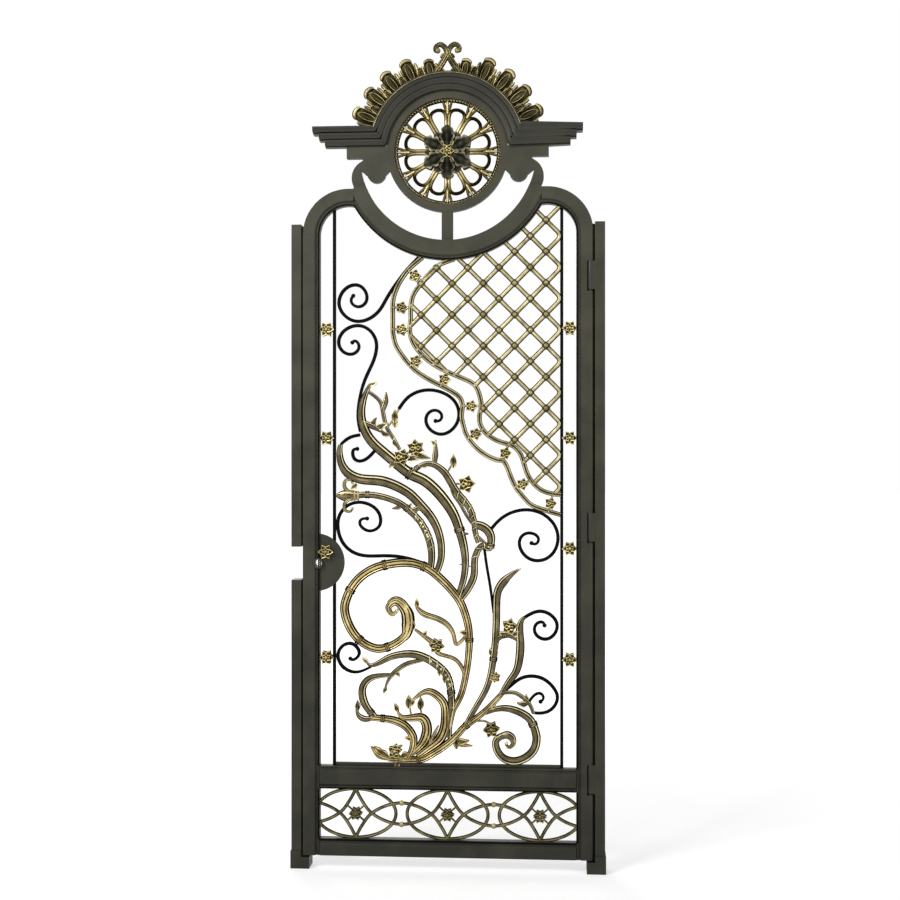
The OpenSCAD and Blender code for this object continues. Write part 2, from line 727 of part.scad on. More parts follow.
branch_line = [[-108, 322], [-109, 314], [-107, 303], [-101, 294], [-92, 289], [-83, 287], [-67, 286], [-52, 281],
    [-38, 273], [-28, 263], [-18, 252], [-11, 240], [-7, 227], [-6, 215], [-7, 205], [-11, 194]];
branch_under = [[-90, 271], [-83, 272], [-71, 271], [-59, 268], [-47, 263], [-37, 255], [-28, 246], [-22, 236],
    [-18, 226], [-16, 215], [-16, 205], [-17, 198]];
branch_link = [[-37, 256], [-32, 257], [-26, 261]];
fleur_line = [[-112, 271], [-104, 271], [-90, 271]];
branch_leaflet = [[-45, 262], [-50, 259], [-56, 258]];
volute_line = [[2, 38], [4, 48], [6, 57], [10, 64], [15, 76], [19, 95], [21, 110], [22, 127], [21, 140], [18, 152],
    [13, 165], [3, 178], [-8, 189], [-21, 199], [-37, 204], [-56, 203], [-74, 198], [-88, 189], [-97, 178],
    [-102, 167], [-104, 157], [-101, 144], [-93, 130], [-82, 121], [-69, 117], [-55, 121], [-44, 129],
    [-39, 139], [-39, 150], [-42, 160], [-48, 166], [-54, 167], [-59, 163]];
volute_leaf = [[20, 133], [9, 121], [6, 133], [0, 142], [-10, 148], [-23, 152], [-30, 158], [-32, 164]];
volute_twig = [[-33, 137], [-22, 129], [-12, 121], [-10, 113], [5, 109], [13, 102], [17, 92], [17, 81]];
arch_line = [[-82, 105], [-78, 100], [-69, 103], [-58, 109], [-45, 112], [-33, 112], [-21, 108], [-10, 101],
    [-1, 92], [3, 80], [4, 66], [4, 56], [2, 46], [1, 29]];
arch_twig = [[-22, 107], [-31, 105], [-42, 102], [-52, 95], [-59, 87], [-63, 77]];
hook_line = [[-55, 91], [-69, 90], [-79, 87], [-85, 80], [-86, 71], [-83, 61], [-77, 53], [-73, 49]];
hook_leaf = [[-92, 59], [-90, 50], [-82, 46], [-73, 49]];
foot_line = [[-77, 48], [-62, 47], [-52, 45], [-42, 40], [-35, 31], [-34, 23], [-36, 15], [-40, 7]];
leaf_low = [[-51, 57], [-47, 49], [-37, 48], [-26, 49], [-21, 42], [-21, 32], [-26, 22], [-36, 12]];
leaf_high = [[-35, 66], [-26, 73], [-18, 75], [-9, 70], [-3, 62], [-2, 50], [-3, 38], [-8, 27], [-18, 19], [-30, 10]];
leaf_blade = [[-9, 41], [-13, 33], [-18, 22]];
bud_stems = [[[-39, 64], [-36, 48]], [[-27, 62], [-26, 48]]];
root_line = [[-60, 7], [-42, 6], [-26, 7], [-16, 12], [-1, 22], [9, 31], [17, 40], [28, 48], [41, 59], [54, 73]];
root_leaf = [[-77, 19], [-69, 10], [-58, 7]];
root_bow = [[-44, 6], [-52, 11], [-53, 19]];
berry_line = [[5, 27], [14, 22], [25, 21]];
right_line = [[18, 41], [28, 59], [38, 76], [43, 91], [46, 108], [48, 126], [49, 146], [49, 162], [50, 175],
    [55, 184], [63, 192], [72, 198]];
right_under = [[54, 73], [61, 85], [69, 96], [72, 109], [73, 124], [72, 137], [74, 147], [80, 152]];
right_arch = [[46, 120], [49, 126], [54, 131], [62, 132], [69, 128], [73, 124]];
right_twig = [[54, 74], [66, 75], [74, 71], [82, 64], [86, 54]];
scroll_line = [[38, 54], [48, 58], [60, 59], [73, 55], [83, 48], [88, 36], [89, 27], [86, 17], [77, 9], [66, 6],
    [56, 9], [50, 16], [48, 25], [52, 30], [59, 32], [64, 29], [66, 25]];
flower_line = [[28, 46], [38, 46], [45, 41]];
volute_eye = [-57, 160];
scroll_eye = [63, 22];

module main_stem() {
    color(iron_gold) {
        stem(main_line, [3, 16, 20, 22, 22, 22, 22, 20, 16]);
        stem(tendril_line, [8, 10, 8]);
        stem(tendril_spike, [12, 12, 3]);
        stem(antler_line, [10, 14, 4]);
    }
}

module vine_stem() {
    color(iron_gold) {
        stem(vine_line, [10, 14, 18, 16, 14, 12]);
        stem(vine_spike, [10, 14, 3]);
        stem(vine_strand, [8]);
        stem(vine_loop, [12, 12, 10, 14, 16, 12]);
    }
}

module left_branch() {
    color(iron_gold) {
        stem(branch_line, [10, 18, 20, 20, 20, 16]);
        stem(branch_under, [14, 16, 16, 14, 10]);
        stem(branch_link, [12]);
        stem(fleur_line, [8, 26, 12]);
        stem(branch_leaflet, [8, 10, 2]);
    }
}

module big_volute() {
    color(iron_gold) {
        stem(volute_line, [12, 20, 22, 22, 22, 22, 22, 20, 18, 12]);
        stem(volute_leaf, [8, 10, 14, 14, 4]);
        stem(volute_twig, [6, 14, 10, 10, 8]);
        bead(volute_eye, grid_fit * volute_bulb_r, stem_d);
    }
}

module low_left_stem() {
    color(iron_gold) {
        stem(arch_line, [4, 14, 18, 18, 16, 14]);
        stem(arch_twig, [8, 14, 12, 3]);
        stem(hook_line, [8, 16, 18, 12]);
        stem(hook_leaf, [3, 14, 10]);
    }
}

module low_left_leaves() {
    color(iron_gold) {
        stem(foot_line, [10, 12, 14, 10]);
        stem(leaf_low, [3, 14, 16, 16, 8]);
        stem(leaf_high, [6, 16, 18, 18, 8]);
        stem(leaf_blade, [3, 8, 6]);
        for (b = bud_stems) stem(b, [5]);
    }
}

module root_stem() {
    color(iron_gold) {
        stem(root_line, [16, 22, 20, 18, 16, 14]);
        stem(root_leaf, [4, 16, 10]);
        stem(root_bow, [10, 12, 4]);
        stem(berry_line, [8, 12, 3]);
    }
}

module right_stems() {
    color(iron_gold) {
        stem(right_line, [14, 16, 18, 20, 24, 26, 3]);
        stem(right_under, [12, 16, 18, 18, 3]);
        stem(right_arch, [6, 12, 12, 4]);
        stem(right_twig, [8, 10, 8]);
    }
}

module low_right_volute() {
    color(iron_gold) {
        stem(scroll_line, [10, 18, 20, 20, 18, 16, 12]);
        stem(flower_line, [5]);
        bead(scroll_eye, grid_fit * scroll_eye_r, stem_d);
    }
}

// Flowers and buds: place on the grid and radius
blooms = [[-45, 312, 18], [-33, 319, 20], [-18, 306, 14], [19, 283, 20], [-11, 121, 18], [62, 141, 18],
    [44, 38, 19], [-53, 15, 16], [48, 90, 12]];
bloom_stalks = [[[-17, 306], [-10, 300]], [[-33, 319], [-18, 306]], [[13, 283], [6, 283]], [[62, 141], [62, 131]]];
buds = [[-53, 350, 9], [-53, 345, 8], [6, 305, 9], [-39, 64, 9], [-27, 62, 9], [9, 24, 9], [-8, 95, 6], [-3, 88, 6],
    [1, 76, 5]];
bud_stalks = [[[-53, 350], [-49, 358]], [[-53, 350], [-60, 340]], [[6, 305], [-1, 293]]];

module flowers() {
    color(iron_gold) {
        for (b = blooms) upright(bloom_d) translate(place(b)) flower_outline(grid_fit * b[2], bloom_petals);
        for (b = buds) translate([place(b)[0], 0, place(b)[1]]) sphere(r = grid_fit * b[2]);
        for (s = concat(bloom_stalks, bud_stalks)) stroke(s, [stalk_w], scroll_d);
    }
}

// Low panel: three ovals crossed by two waves
oval_half = 130;
ovals_across = 2.777;
oval_step = 2 * stile_in / ovals_across;
oval_seat = 1;
cross_l = 86;
cross_w = 6;
cross_turn = 42;
knot_r = 9;
knot_proud = 1;
wave_dip = 0.44;
wave_inset = 2;
low_mid = low_panel_z + low_panel_h / 2;
wave_half = low_panel_h / 2 - wave_inset;
wave_knots = [[0, 1], [0.07, 0.72], [0.165, 0], [0.32, -0.34], [0.5, -wave_dip], [0.68, -0.34], [0.835, 0],
    [0.93, 0.72]];
function wave(up) = [for (i = [-2 : 1], k = wave_knots)
    [(i + k[0]) * oval_step, low_mid + up * k[1] * wave_half]];

// Ring of an oval, as outer and inner outlines
module oval(rx, rz, w) {
    upright(iron_d) difference() {
        polygon([for (a = [0 : 6 : 354]) [rx * cos(a), rz * sin(a)]]);
        polygon([for (a = [0 : 6 : 354]) [(rx - w) * cos(a), (rz - w) * sin(a)]]);
    }
}

module panel_ovals() {
    color(iron_gold) intersection() {
        block([-stile_in, -leaf_d, low_panel_z], [stile_in, leaf_d, middle_rail_z]);
        union() {
            for (s = [-1, 0, 1]) translate([s * oval_step, 0, low_mid]) {
                oval(oval_half, low_panel_h / 2 + oval_seat, oval_w);
                for (a = [-1, 1]) upright(iron_d) rotate(a * cross_turn) square([cross_l, cross_w], center = true);
            }
            for (u = [-1, 1]) upright(iron_d) polygon(ribbon(smooth(wave(u)), [oval_w]));
            for (s = [-0.5, 0.5], u = [-1, 1])
                disc(s * oval_step, low_mid + u * wave_dip * wave_half, knot_r, iron_d + 2 * knot_proud);
        }
    }
}

module panel_rosettes() {
    color(iron_gold) for (s = [-1, 0, 1], f = [-1, 1])
        translate([s * oval_step, f * (iron_d / 2 + rosette_d / 4), low_mid])
            upright(rosette_d / 2) flower_outline(panel_rosette_r, rosette_petals);
}

in_place() hinge_post();
in_place() latch_post();
in_place() hinge_post_shoe();
in_place() latch_post_shoe();
in_place() hinge_knuckles();
in_place() hinge_stile();
in_place() latch_stile();
in_place() bottom_rail();
in_place() middle_rail();
in_place() hinge_shoulder();
in_place() latch_shoulder();
in_place() crescent_band();
in_place() crown_plate();
in_place() roundel_strut();
in_place() cornice();
in_place() rose_window();
in_place() rose_boss();
in_place() left_crest();
in_place() right_crest();
in_place() crest_finials();
in_place() left_bar();
in_place() right_bar();
in_place() panel_sill();
in_place() left_rosettes();
in_place() right_rosettes();
in_place() lock_plate();
in_place() lattice();
in_place() lattice_border();
in_place() border_rosettes();
in_place() upper_scrolls();
in_place() centre_scroll();
in_place() left_scrolls();
in_place() right_scrolls();
in_place() main_stem();
in_place() vine_stem();
in_place() left_branch();
in_place() big_volute();
in_place() low_left_stem();
in_place() low_left_leaves();
in_place() root_stem();
in_place() right_stems();
in_place() low_right_volute();
in_place() flowers();
in_place() panel_ovals();
in_place() panel_rosettes();
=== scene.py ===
"""Looks of an arched wrought iron entrance gate: paint on its frame, and leafwork drawn along its lines."""

import math

import bmesh
import bpy
from mathutils import Matrix, Vector


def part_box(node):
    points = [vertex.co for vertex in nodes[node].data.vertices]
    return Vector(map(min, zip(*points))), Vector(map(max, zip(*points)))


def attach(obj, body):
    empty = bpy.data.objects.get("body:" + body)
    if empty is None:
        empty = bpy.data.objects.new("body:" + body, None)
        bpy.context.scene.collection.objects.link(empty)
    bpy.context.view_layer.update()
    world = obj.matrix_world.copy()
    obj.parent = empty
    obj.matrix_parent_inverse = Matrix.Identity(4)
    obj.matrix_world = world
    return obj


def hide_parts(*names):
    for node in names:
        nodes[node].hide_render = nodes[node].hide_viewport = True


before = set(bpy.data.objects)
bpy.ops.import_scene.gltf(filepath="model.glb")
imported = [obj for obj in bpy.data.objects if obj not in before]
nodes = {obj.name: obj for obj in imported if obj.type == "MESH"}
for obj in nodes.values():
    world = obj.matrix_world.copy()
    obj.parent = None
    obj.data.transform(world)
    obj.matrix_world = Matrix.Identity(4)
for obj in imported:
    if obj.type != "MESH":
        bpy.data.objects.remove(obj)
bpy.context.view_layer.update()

MM = 0.001
FACES = (-1, 1)

# Setting out, read from the frame
cornice_low, cornice_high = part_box("cornice")
rose_low, rose_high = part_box("rose_window")
shoulder_low, shoulder_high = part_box("hinge_shoulder")
stile_low, stile_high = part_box("hinge_stile")
GATE_X = (cornice_low.x + cornice_high.x) / 2
CROWN_Z = (rose_low.z + rose_high.z) / 2
ROSE_R = (rose_high.x - rose_low.x) / 2
ARCH_R = cornice_high.z - CROWN_Z
SILL_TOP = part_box("panel_sill")[1].z
PANEL_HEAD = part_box("crescent_band")[0].z
PANEL_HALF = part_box("right_bar")[0].x - GATE_X
PANEL_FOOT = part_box("middle_rail")[1].z
BAR_MIDDLE = (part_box("right_bar")[0].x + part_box("right_bar")[1].x) / 2 - GATE_X
STILE_IN = stile_low.x - GATE_X
STILE_W = stile_high.x - stile_low.x
LEAF_FRONT = stile_low.y
LOW_PANEL = (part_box("bottom_rail")[1].z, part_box("middle_rail")[0].z)
CRESCENT_R = CROWN_Z - PANEL_HEAD
SHOULDER_R = shoulder_high.z - shoulder_low.z
SHOULDER_X = shoulder_high.x - GATE_X - SHOULDER_R
SHOULDER_Z = shoulder_low.z

# Setting-out grid of the main panel, the same as the frame's
GRID_HALF = 112.5
SILL_ROW = 3.125
HEAD_ROW = 506.875
SQUARE_W = PANEL_HALF / GRID_HALF
SQUARE_H = (PANEL_HEAD - SILL_TOP) / (HEAD_ROW - SILL_ROW)


def on_grid(points, y=0.0):
    """Places on the setting-out grid as points in the gate's middle plane, or beside it."""
    return [Vector((GATE_X + u * SQUARE_W, y, SILL_TOP + (v - SILL_ROW) * SQUARE_H)) for u, v in points]


def spot(u, v, y=0.0):
    return on_grid([(u, v)], y)[0]


# Finishes


class Value:
    """A number that changes over a surface. Arithmetic on it adds Math nodes."""

    def __init__(self, finish, socket):
        self.finish = finish
        self.socket = socket

    def math(self, operation, left, right):
        return self.finish.node("ShaderNodeMath", {"operation": operation}, {0: left, 1: right})

    def __add__(self, other):
        return self.math("ADD", self, other)

    def __sub__(self, other):
        return self.math("SUBTRACT", self, other)

    def __rsub__(self, other):
        return self.math("SUBTRACT", other, self)

    def __mul__(self, other):
        return self.math("MULTIPLY", self, other)

    __radd__ = __add__
    __rmul__ = __mul__


class Finish:
    """A procedural finish and the nodes that make it."""

    def __init__(self, name, **sockets):
        self.material = bpy.data.materials.new(name)
        self.material.use_nodes = True
        self.tree = self.material.node_tree
        self.shader = self.tree.nodes["Principled BSDF"]
        self.set(**sockets)

    def put(self, socket, value):
        if isinstance(value, Value):
            self.tree.links.new(value.socket, socket)
        else:
            socket.default_value = value

    def set(self, **sockets):
        for name, value in sockets.items():
            self.put(self.shader.inputs[name.replace("_", " ")], value)

    def node(self, kind, settings, sockets, output=0):
        """Any node: its settings first, then the values or links of its sockets."""
        made = self.tree.nodes.new(kind)
        for name, value in settings.items():
            if name == "stops":
                ramp = made.color_ramp.elements
                while len(ramp) < len(value):
                    ramp.new(1.0)
                for element, (place, colour) in zip(ramp, value):
                    element.position = place
                    element.color = (*colour, 1.0)
            else:
                setattr(made, name, value)
        for name, value in sockets.items():
            self.put(made.inputs[name], value)
        return Value(self, made.outputs[output])

    def noise(self, scale, detail=3.0):
        here = self.node("ShaderNodeTexCoord", {}, {}, "Object")
        return self.node("ShaderNodeTexNoise", {}, {"Vector": here, "Scale": scale, "Detail": detail})

    def ramp(self, factor, stops):
        return self.node("ShaderNodeValToRGB", {"stops": stops}, {"Fac": factor})

    def bump(self, height, distance, strength=1.0):
        sockets = {"Height": height, "Distance": distance, "Strength": strength}
        self.set(Normal=self.node("ShaderNodeBump", {}, sockets))


def painted(name, shade, light, roughness, grain, gloss=0.25):
    """Sprayed paint with soft cloudiness, a fine grain, and painted shade that darkens it towards the foot,
    where less light falls.
    """
    finish = Finish(name, Specular_IOR_Level=gloss)
    place = finish.node("ShaderNodeTexCoord", {}, {}, "Object")
    height = finish.node("ShaderNodeSeparateXYZ", {}, {0: place}, "Z")
    cloud = finish.noise(9.0)
    speck = finish.noise(900.0, 2.0)
    # height * 0.14 is painted shade: the paint gets darker the lower it stands, standing in for light that
    # falls off towards the ground.
    tone = cloud * 0.8 + speck * 0.3 + height * 0.14 - 0.24
    finish.set(Base_Color=finish.ramp(tone, [(0.3, shade), (0.7, light)]))
    finish.set(Roughness=roughness + 0.25 * (cloud - 0.5) + 0.1 * (speck - 0.5))
    finish.bump(speck + 0.6 * finish.noise(160.0), grain)
    return finish.material


def gilded(name, recess_and_shade, bronze, gold, cover, roughness=0.36):
    """Dark iron with gold brushed over its ridges. The attribute drawn with each section says what stands
    proud, and also carries painted shade on the sides and outlines of rods and stems and a painted highlight
    along one edge of the broad stems.
    """
    finish = Finish(name, Specular_IOR_Level=0.0)
    ridge = finish.node("ShaderNodeAttribute", {"attribute_name": "ridge"}, {}, "Fac")
    patch = finish.noise(26.0)
    brush = finish.noise(330.0, 4.0)
    # The darkest stop is also painted shade where the attribute darkens sides and outlines, and the gold stop
    # is also painted highlight.
    gilt_and_shading = ridge * (0.8 + (patch - 0.5) * 0.9 + (brush - 0.5) * 0.4) + cover
    finish.set(Base_Color=finish.ramp(gilt_and_shading, [(0.12, recess_and_shade), (0.5, bronze), (0.92, gold)]))
    shine = {"Value": gilt_and_shading, "From Min": 0.15, "From Max": 0.6, "To Max": 0.65}
    finish.set(Metallic=finish.node("ShaderNodeMapRange", {}, shine))
    finish.set(Roughness=roughness + 0.3 * (1 - ridge) * brush)
    finish.bump(brush, 0.5 * MM, 0.6)
    return finish.material


FRAME_PAINT = painted("frame_paint", (0.0215, 0.0208, 0.0148), (0.055, 0.0522, 0.0338), 0.46, 0.12 * MM)
DARK_PAINT = painted("dark_paint", (0.012, 0.012, 0.0095), (0.033, 0.032, 0.023), 0.46, 0.12 * MM)
BLACK_PAINT = painted("black_paint", (0.001, 0.001, 0.001), (0.003, 0.003, 0.0027), 0.6, 0.15 * MM, 0.05)
DARK = (0.007, 0.006, 0.003)
BRONZE_GILT = gilded("bronze_gilt", DARK, (0.15, 0.124, 0.066), (0.92, 0.8, 0.46), 0.02)
WARM_GILT = gilded("warm_gilt", DARK, (0.17, 0.12, 0.042), (0.92, 0.74, 0.35), 0.02)
PALE_GILT = gilded("pale_gilt", (0.03, 0.025, 0.011), (0.27, 0.23, 0.11), (0.86, 0.77, 0.47), 0.0)
BRIGHT_GILT = gilded("bright_gilt", (0.014, 0.010, 0.003), (0.24, 0.185, 0.062), (0.88, 0.76, 0.42), 0.0)
LEAF_GILT = gilded("leaf_gilt", (0.005, 0.005, 0.0035), (0.078, 0.063, 0.027), (0.8, 0.67, 0.3), 0.0)
DULL_GILT = gilded("dull_gilt", (0.010, 0.009, 0.005), (0.075, 0.065, 0.033), (0.42, 0.36, 0.17), -0.04)
BOSS_GILT = gilded("boss_gilt", (0.006, 0.007, 0.005), (0.045, 0.043, 0.03), (0.26, 0.23, 0.13), 0.06, 0.42)

# Drawing


def new_shape():
    shape = bmesh.new()
    shape.verts.layers.float.new("ridge")
    return shape


def join(shape, part):
    """Adds a part that was drawn on its own, which keeps every operator quick."""
    mesh = bpy.data.meshes.new("part")
    part.to_mesh(mesh)
    part.free()
    shape.from_mesh(mesh)
    bpy.data.meshes.remove(mesh)


def smooth(points, steps=5):
    """A smooth line through given points."""
    last = len(points) - 1
    line = []
    for i in range(last):
        a, b, c, d = (points[min(max(k, 0), last)] for k in (i - 1, i, i + 1, i + 2))
        for j in range(steps):
            t = j / steps
            bend = (2 * a - 5 * b + 4 * c - d) * t**2 + (3 * b - a - 3 * c + d) * t**3
            line.append(0.5 * (2 * b + (c - a) * t + bend))
    return line + [points[last]]


def eased(line, passes):
    """A line with its bends evened out and its ends kept."""
    for _ in range(passes):
        inner = [(a + 2 * b + c) / 4 for a, b, c in zip(line, line[1:], line[2:])]
        line = [line[0]] + inner + [line[-1]]
    return line


def share(values, t):
    """A value at a share of the way along evenly spaced values."""
    if len(values) == 1:
        return values[0]
    k = t * (len(values) - 1)
    i = min(int(k), len(values) - 2)
    return values[i] + (values[i + 1] - values[i]) * (k - i)


# Sections are rings of places: across, deep, and how proud and bright the place is, which is gold rubbed on
# what stands proud together with painted shade that darkens the outer edges and sides


def both_halves(quarter):
    """A section from a quarter of it, drawn from its edge to its middle."""
    front = list(quarter) + [(-across, deep, ridge) for across, deep, ridge in reversed(quarter)]
    return front + [(-across, -deep, ridge) for across, deep, ridge in front[1:-1]]


def both_faces(front):
    """A section from its front, drawn from the lower edge to the upper."""
    return list(front) + [(across, -deep, ridge) for across, deep, ridge in reversed(front)]


def round_rod(sides=10):
    """A round rod, brightest along its front and back, with painted shade darkening its sides."""
    turns = [math.tau * k / sides for k in range(sides)]
    return [(math.cos(t), math.sin(t), math.sin(t) ** 4) for t in turns]


def strands(lobes=3, sides=9):
    """Twisted strands laid together."""
    section = []
    for k in range(sides):
        turn = math.tau * k / sides
        out = 0.8 + 0.2 * math.cos(lobes * turn)
        section.append((out * math.cos(turn), out * math.sin(turn), 2.5 * out - 1.5))
    return section


# The outer edges of RIBBED, BROAD and GROOVED carry no gold: painted shade that darkens the outlines of stems
# and bars.
RIBBED = both_halves([(1.0, 0.0, 0.0), (1.0, 0.26, 0.0), (0.8, 0.32, 0.0), (0.74, 0.62, 0.1),
                      (0.66, 0.9, 1.0), (0.53, 0.86, 0.85), (0.43, 0.6, 0.0), (0.31, 0.62, 0.0),
                      (0.22, 0.94, 0.75), (0.06, 1.0, 0.9)])
# BROAD is brighter near its negative edge than its positive one: a painted highlight on the side the light
# falls on.
BROAD = both_faces([(1.0, 0.26, 0.0), (0.82, 0.32, 0.0), (0.76, 0.66, 0.2), (0.66, 0.86, 0.7),
                    (0.54, 0.8, 0.4), (0.4, 0.9, 0.5), (0.12, 1.0, 0.62), (-0.14, 0.86, 0.4),
                    (-0.26, 0.64, 0.0), (-0.36, 0.66, 0.05), (-0.5, 0.92, 1.15), (-0.64, 0.9, 1.1),
                    (-0.76, 0.6, 0.15), (-0.82, 0.32, 0.0), (-1.0, 0.26, 0.0)])
GROOVED = both_halves([(1.0, 0.0, 0.0), (0.9, 0.6, 0.05), (0.6, 1.0, 1.1), (0.3, 0.8, 0.5), (0.1, 0.6, 0.0)])
BAR = both_halves([(1.0, 0.3, 0.5), (0.97, 0.8, 0.5), (0.8, 0.97, 0.5), (0.3, 1.0, 0.5)])
MOULDING = both_faces([(1.0, 0.5, 0.3), (0.66, 0.5, 0.3), (0.6, 0.86, 0.3), (0.2, 0.89, 0.3),
                       (-0.3, 0.95, 0.3), (-0.5, 1.0, 0.3), (-0.86, 1.0, 0.3), (-1.0, 0.97, 0.3)])
ROD = round_rod()
ROPE = strands()


def stations(line, closed):
    """Each point of a line with its direction, and how much a section widens in the mitre there."""
    last = len(line) - 1
    for i, point in enumerate(line):
        before = line[i - 1] if closed or i else point
        after = line[(i + 1) % (last + 1)] if closed or i < last else point
        along = (after - before).normalized()
        turn = along.dot((point - before).normalized()) if i else 1.0
        yield point, along, 1 / max(0.6, turn)


def sweep(shape, line, section, widths, depths, closed=False, twist=0.0, tones=(1.0,)):
    """Draws a section along a line by extruding its ring of edges from station to station."""
    part = new_shape()
    tag = part.verts.layers.float["ridge"]
    verts = bmesh.ops.create_circle(part, segments=len(section))["verts"]
    for vert, (across, deep, ridge) in zip(verts, section):
        vert.co = (across, deep, 0)
        vert[tag] = ridge
    edges = list(part.edges)
    first = edges
    standing = Matrix()
    last_tone = 1.0
    for i, (point, along, mitre) in enumerate(stations(line, closed)):
        if i:
            made = bmesh.ops.extrude_edge_only(part, edges=edges)["geom"]
            verts = [item for item in made if isinstance(item, bmesh.types.BMVert)]
            edges = [item for item in made if isinstance(item, bmesh.types.BMEdge)]
        t = i / (len(line) - 1)
        side = Vector((0, 1, 0)).cross(along).normalized()
        wide = side * mitre * share(widths, t) / 2
        deep = along.cross(side) * share(depths, t) / 2
        place = Matrix((wide, deep, along)).transposed().to_4x4()
        place.translation = point
        place = place @ Matrix.Rotation(twist * i, 4, "Z")
        bmesh.ops.transform(part, matrix=place @ standing.inverted(), space=Matrix(), verts=verts)
        standing = place
        for vert in verts:
            vert[tag] *= share(tones, t) / last_tone
        last_tone = share(tones, t)
    if closed:
        bmesh.ops.bridge_loops(part, edges=first + edges)
    else:
        bmesh.ops.edgeloop_fill(part, edges=first)
        bmesh.ops.edgeloop_fill(part, edges=edges)
    join(shape, part)


def bead(shape, centre, size, ridge=0.8, rows=8):
    """A rounded bead, with its size along X, Y and Z."""
    part = new_shape()
    tag = part.verts.layers.float["ridge"]
    place = Matrix.LocRotScale(centre, None, Vector(size))
    bmesh.ops.create_uvsphere(part, u_segments=rows + 4, v_segments=rows, radius=1, matrix=place)
    for vert in part.verts:
        vert[tag] = ridge
    join(shape, part)


def leaf(shape, root, heading, length, half, outline, face, bend=0.0, lobes=0, lift=0.0, cup=0.3,
         thick=3 * MM):
    """A leaf lying in front of its root, or behind it: a grid bent to a spine, an outline and a rib."""
    part = new_shape()
    tag = part.verts.layers.float["ridge"]
    bmesh.ops.create_grid(part, x_segments=6 + 3 * lobes, y_segments=6, size=1)
    for vert in part.verts:
        s = (vert.co.x + 1) / 2
        across = vert.co.y
        angle = math.radians(heading + bend * s / 2)
        spine = Vector((math.cos(angle), 0, math.sin(angle))) * length * s
        turn = math.radians(heading + bend * s)
        side = Vector((-math.sin(turn), 0, math.cos(turn)))
        notch = 0.5 + 0.5 * math.cos(math.tau * lobes * s) if lobes else 0.0
        wide = half * share(outline, s) * (1 - 0.4 * notch**2 * abs(across))
        rib = math.exp(-((across / 0.25) ** 2))
        edge = max(0.0, abs(across) - 0.6) / 0.4
        height = lift * s**2 + wide * (cup * across**2 + 0.25 * rib)
        vert.co = root + spine + side * across * wide + Vector((0, face * height, 0))
        vert[tag] = max(0.6 * rib, edge, 1.4 * s - 0.6) * (1 - 0.4 * notch)
    bmesh.ops.solidify(part, geom=list(part.faces), thickness=thick)
    join(shape, part)


PETAL = (0.3, 0.8, 1.0, 0.75, 0.3, 0.0)
BLADE = (0.5, 0.9, 1.0, 0.75, 0.45, 0.08)
LOBED = (0.5, 0.8, 1.0, 0.95, 0.9, 0.75, 0.3)


def flower(shape, centre, radius, petals, face, lift=0.3, turn=0.0):
    """An open flower: a ring of cupped petals and a smaller ring about a round heart."""
    for ring, (size, start) in enumerate(((1.0, turn), (0.55, turn + 180 / petals))):
        half = size * radius * math.sin(math.pi / petals) * 0.74
        long = size * radius * 0.88
        for k in range(petals):
            angle = start + 360 * k / petals
            out = Vector((math.cos(math.radians(angle)), 0, math.sin(math.radians(angle))))
            root = centre + out * radius * 0.12 + Vector((0, face * ring * radius * 0.14, 0))
            leaf(shape, root, angle, long, half, PETAL, face, lift=lift * radius, cup=0.5, thick=2 * MM)
    heart = centre + Vector((0, face * radius * 0.22, 0))
    bead(shape, heart, (radius * 0.2, radius * 0.2, radius * 0.2), 0.9, 6)


def band(shape, line, widths, t, depth, long=8 * MM, proud=1.22):
    """A raised binding round a stem, with a dark line at each side of it."""
    middle = round(t * (len(line) - 1))
    along = (line[middle + 1] - line[middle - 1]).normalized()
    points = [line[middle] + along * long * k for k in (-1, -0.8, -0.4, 0, 0.4, 0.8, 1)]
    wide = share(widths, t) * MM * proud
    swell = (0.76, 0.96, 1.0, 0.9, 1.0, 0.96, 0.76)
    tones = (0.1, 0.3, 1.0, 0.2, 1.0, 0.3, 0.1)
    sweep(shape, points, ROD, [wide * k for k in swell], [depth * proud * k for k in swell], tones=tones)


def winding(shape, line, widths, depth, start, end, turns, thick):
    """A thin strand wound closely round a stem."""
    low, high = round(start * (len(line) - 1)), round(end * (len(line) - 1))
    core = smooth(line[low : high + 1], 5)
    wound = []
    for i, (point, along, _) in enumerate(stations(core, False)):
        t = i / (len(core) - 1)
        angle = math.tau * turns * t
        side = Vector((0, 1, 0)).cross(along).normalized()
        wide = 0.4 * share(widths, start + (end - start) * t) * MM
        wound.append(point + math.cos(angle) * wide * side + math.sin(angle) * Vector((0, 0.46 * depth, 0)))
    sweep(shape, wound, round_rod(8), [thick], [thick])


def arc(centre, radius, start, end, steps, y=0.0):
    """Points of an arc in the gate's plane, with angles in degrees from +X towards +Z."""
    turns = [math.radians(start + (end - start) * k / steps) for k in range(steps + 1)]
    return [Vector((centre[0] + radius * math.cos(t), y, centre[1] + radius * math.sin(t))) for t in turns]


def finish_piece(name, shape, finish, replaced=(), sharp=50):
    """Makes a mesh of a shape, with its finish, and lets it ride on the leaf."""
    bmesh.ops.recalc_face_normals(shape, faces=shape.faces)
    mesh = bpy.data.meshes.new(name)
    shape.to_mesh(mesh)
    shape.free()
    mesh.materials.append(finish)
    mesh.shade_smooth()
    mesh.set_sharp_from_angle(angle=math.radians(sharp))
    made = bpy.data.objects.new(name, mesh)
    bpy.context.scene.collection.objects.link(made)
    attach(made, "leaf")
    if replaced:
        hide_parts(*replaced)


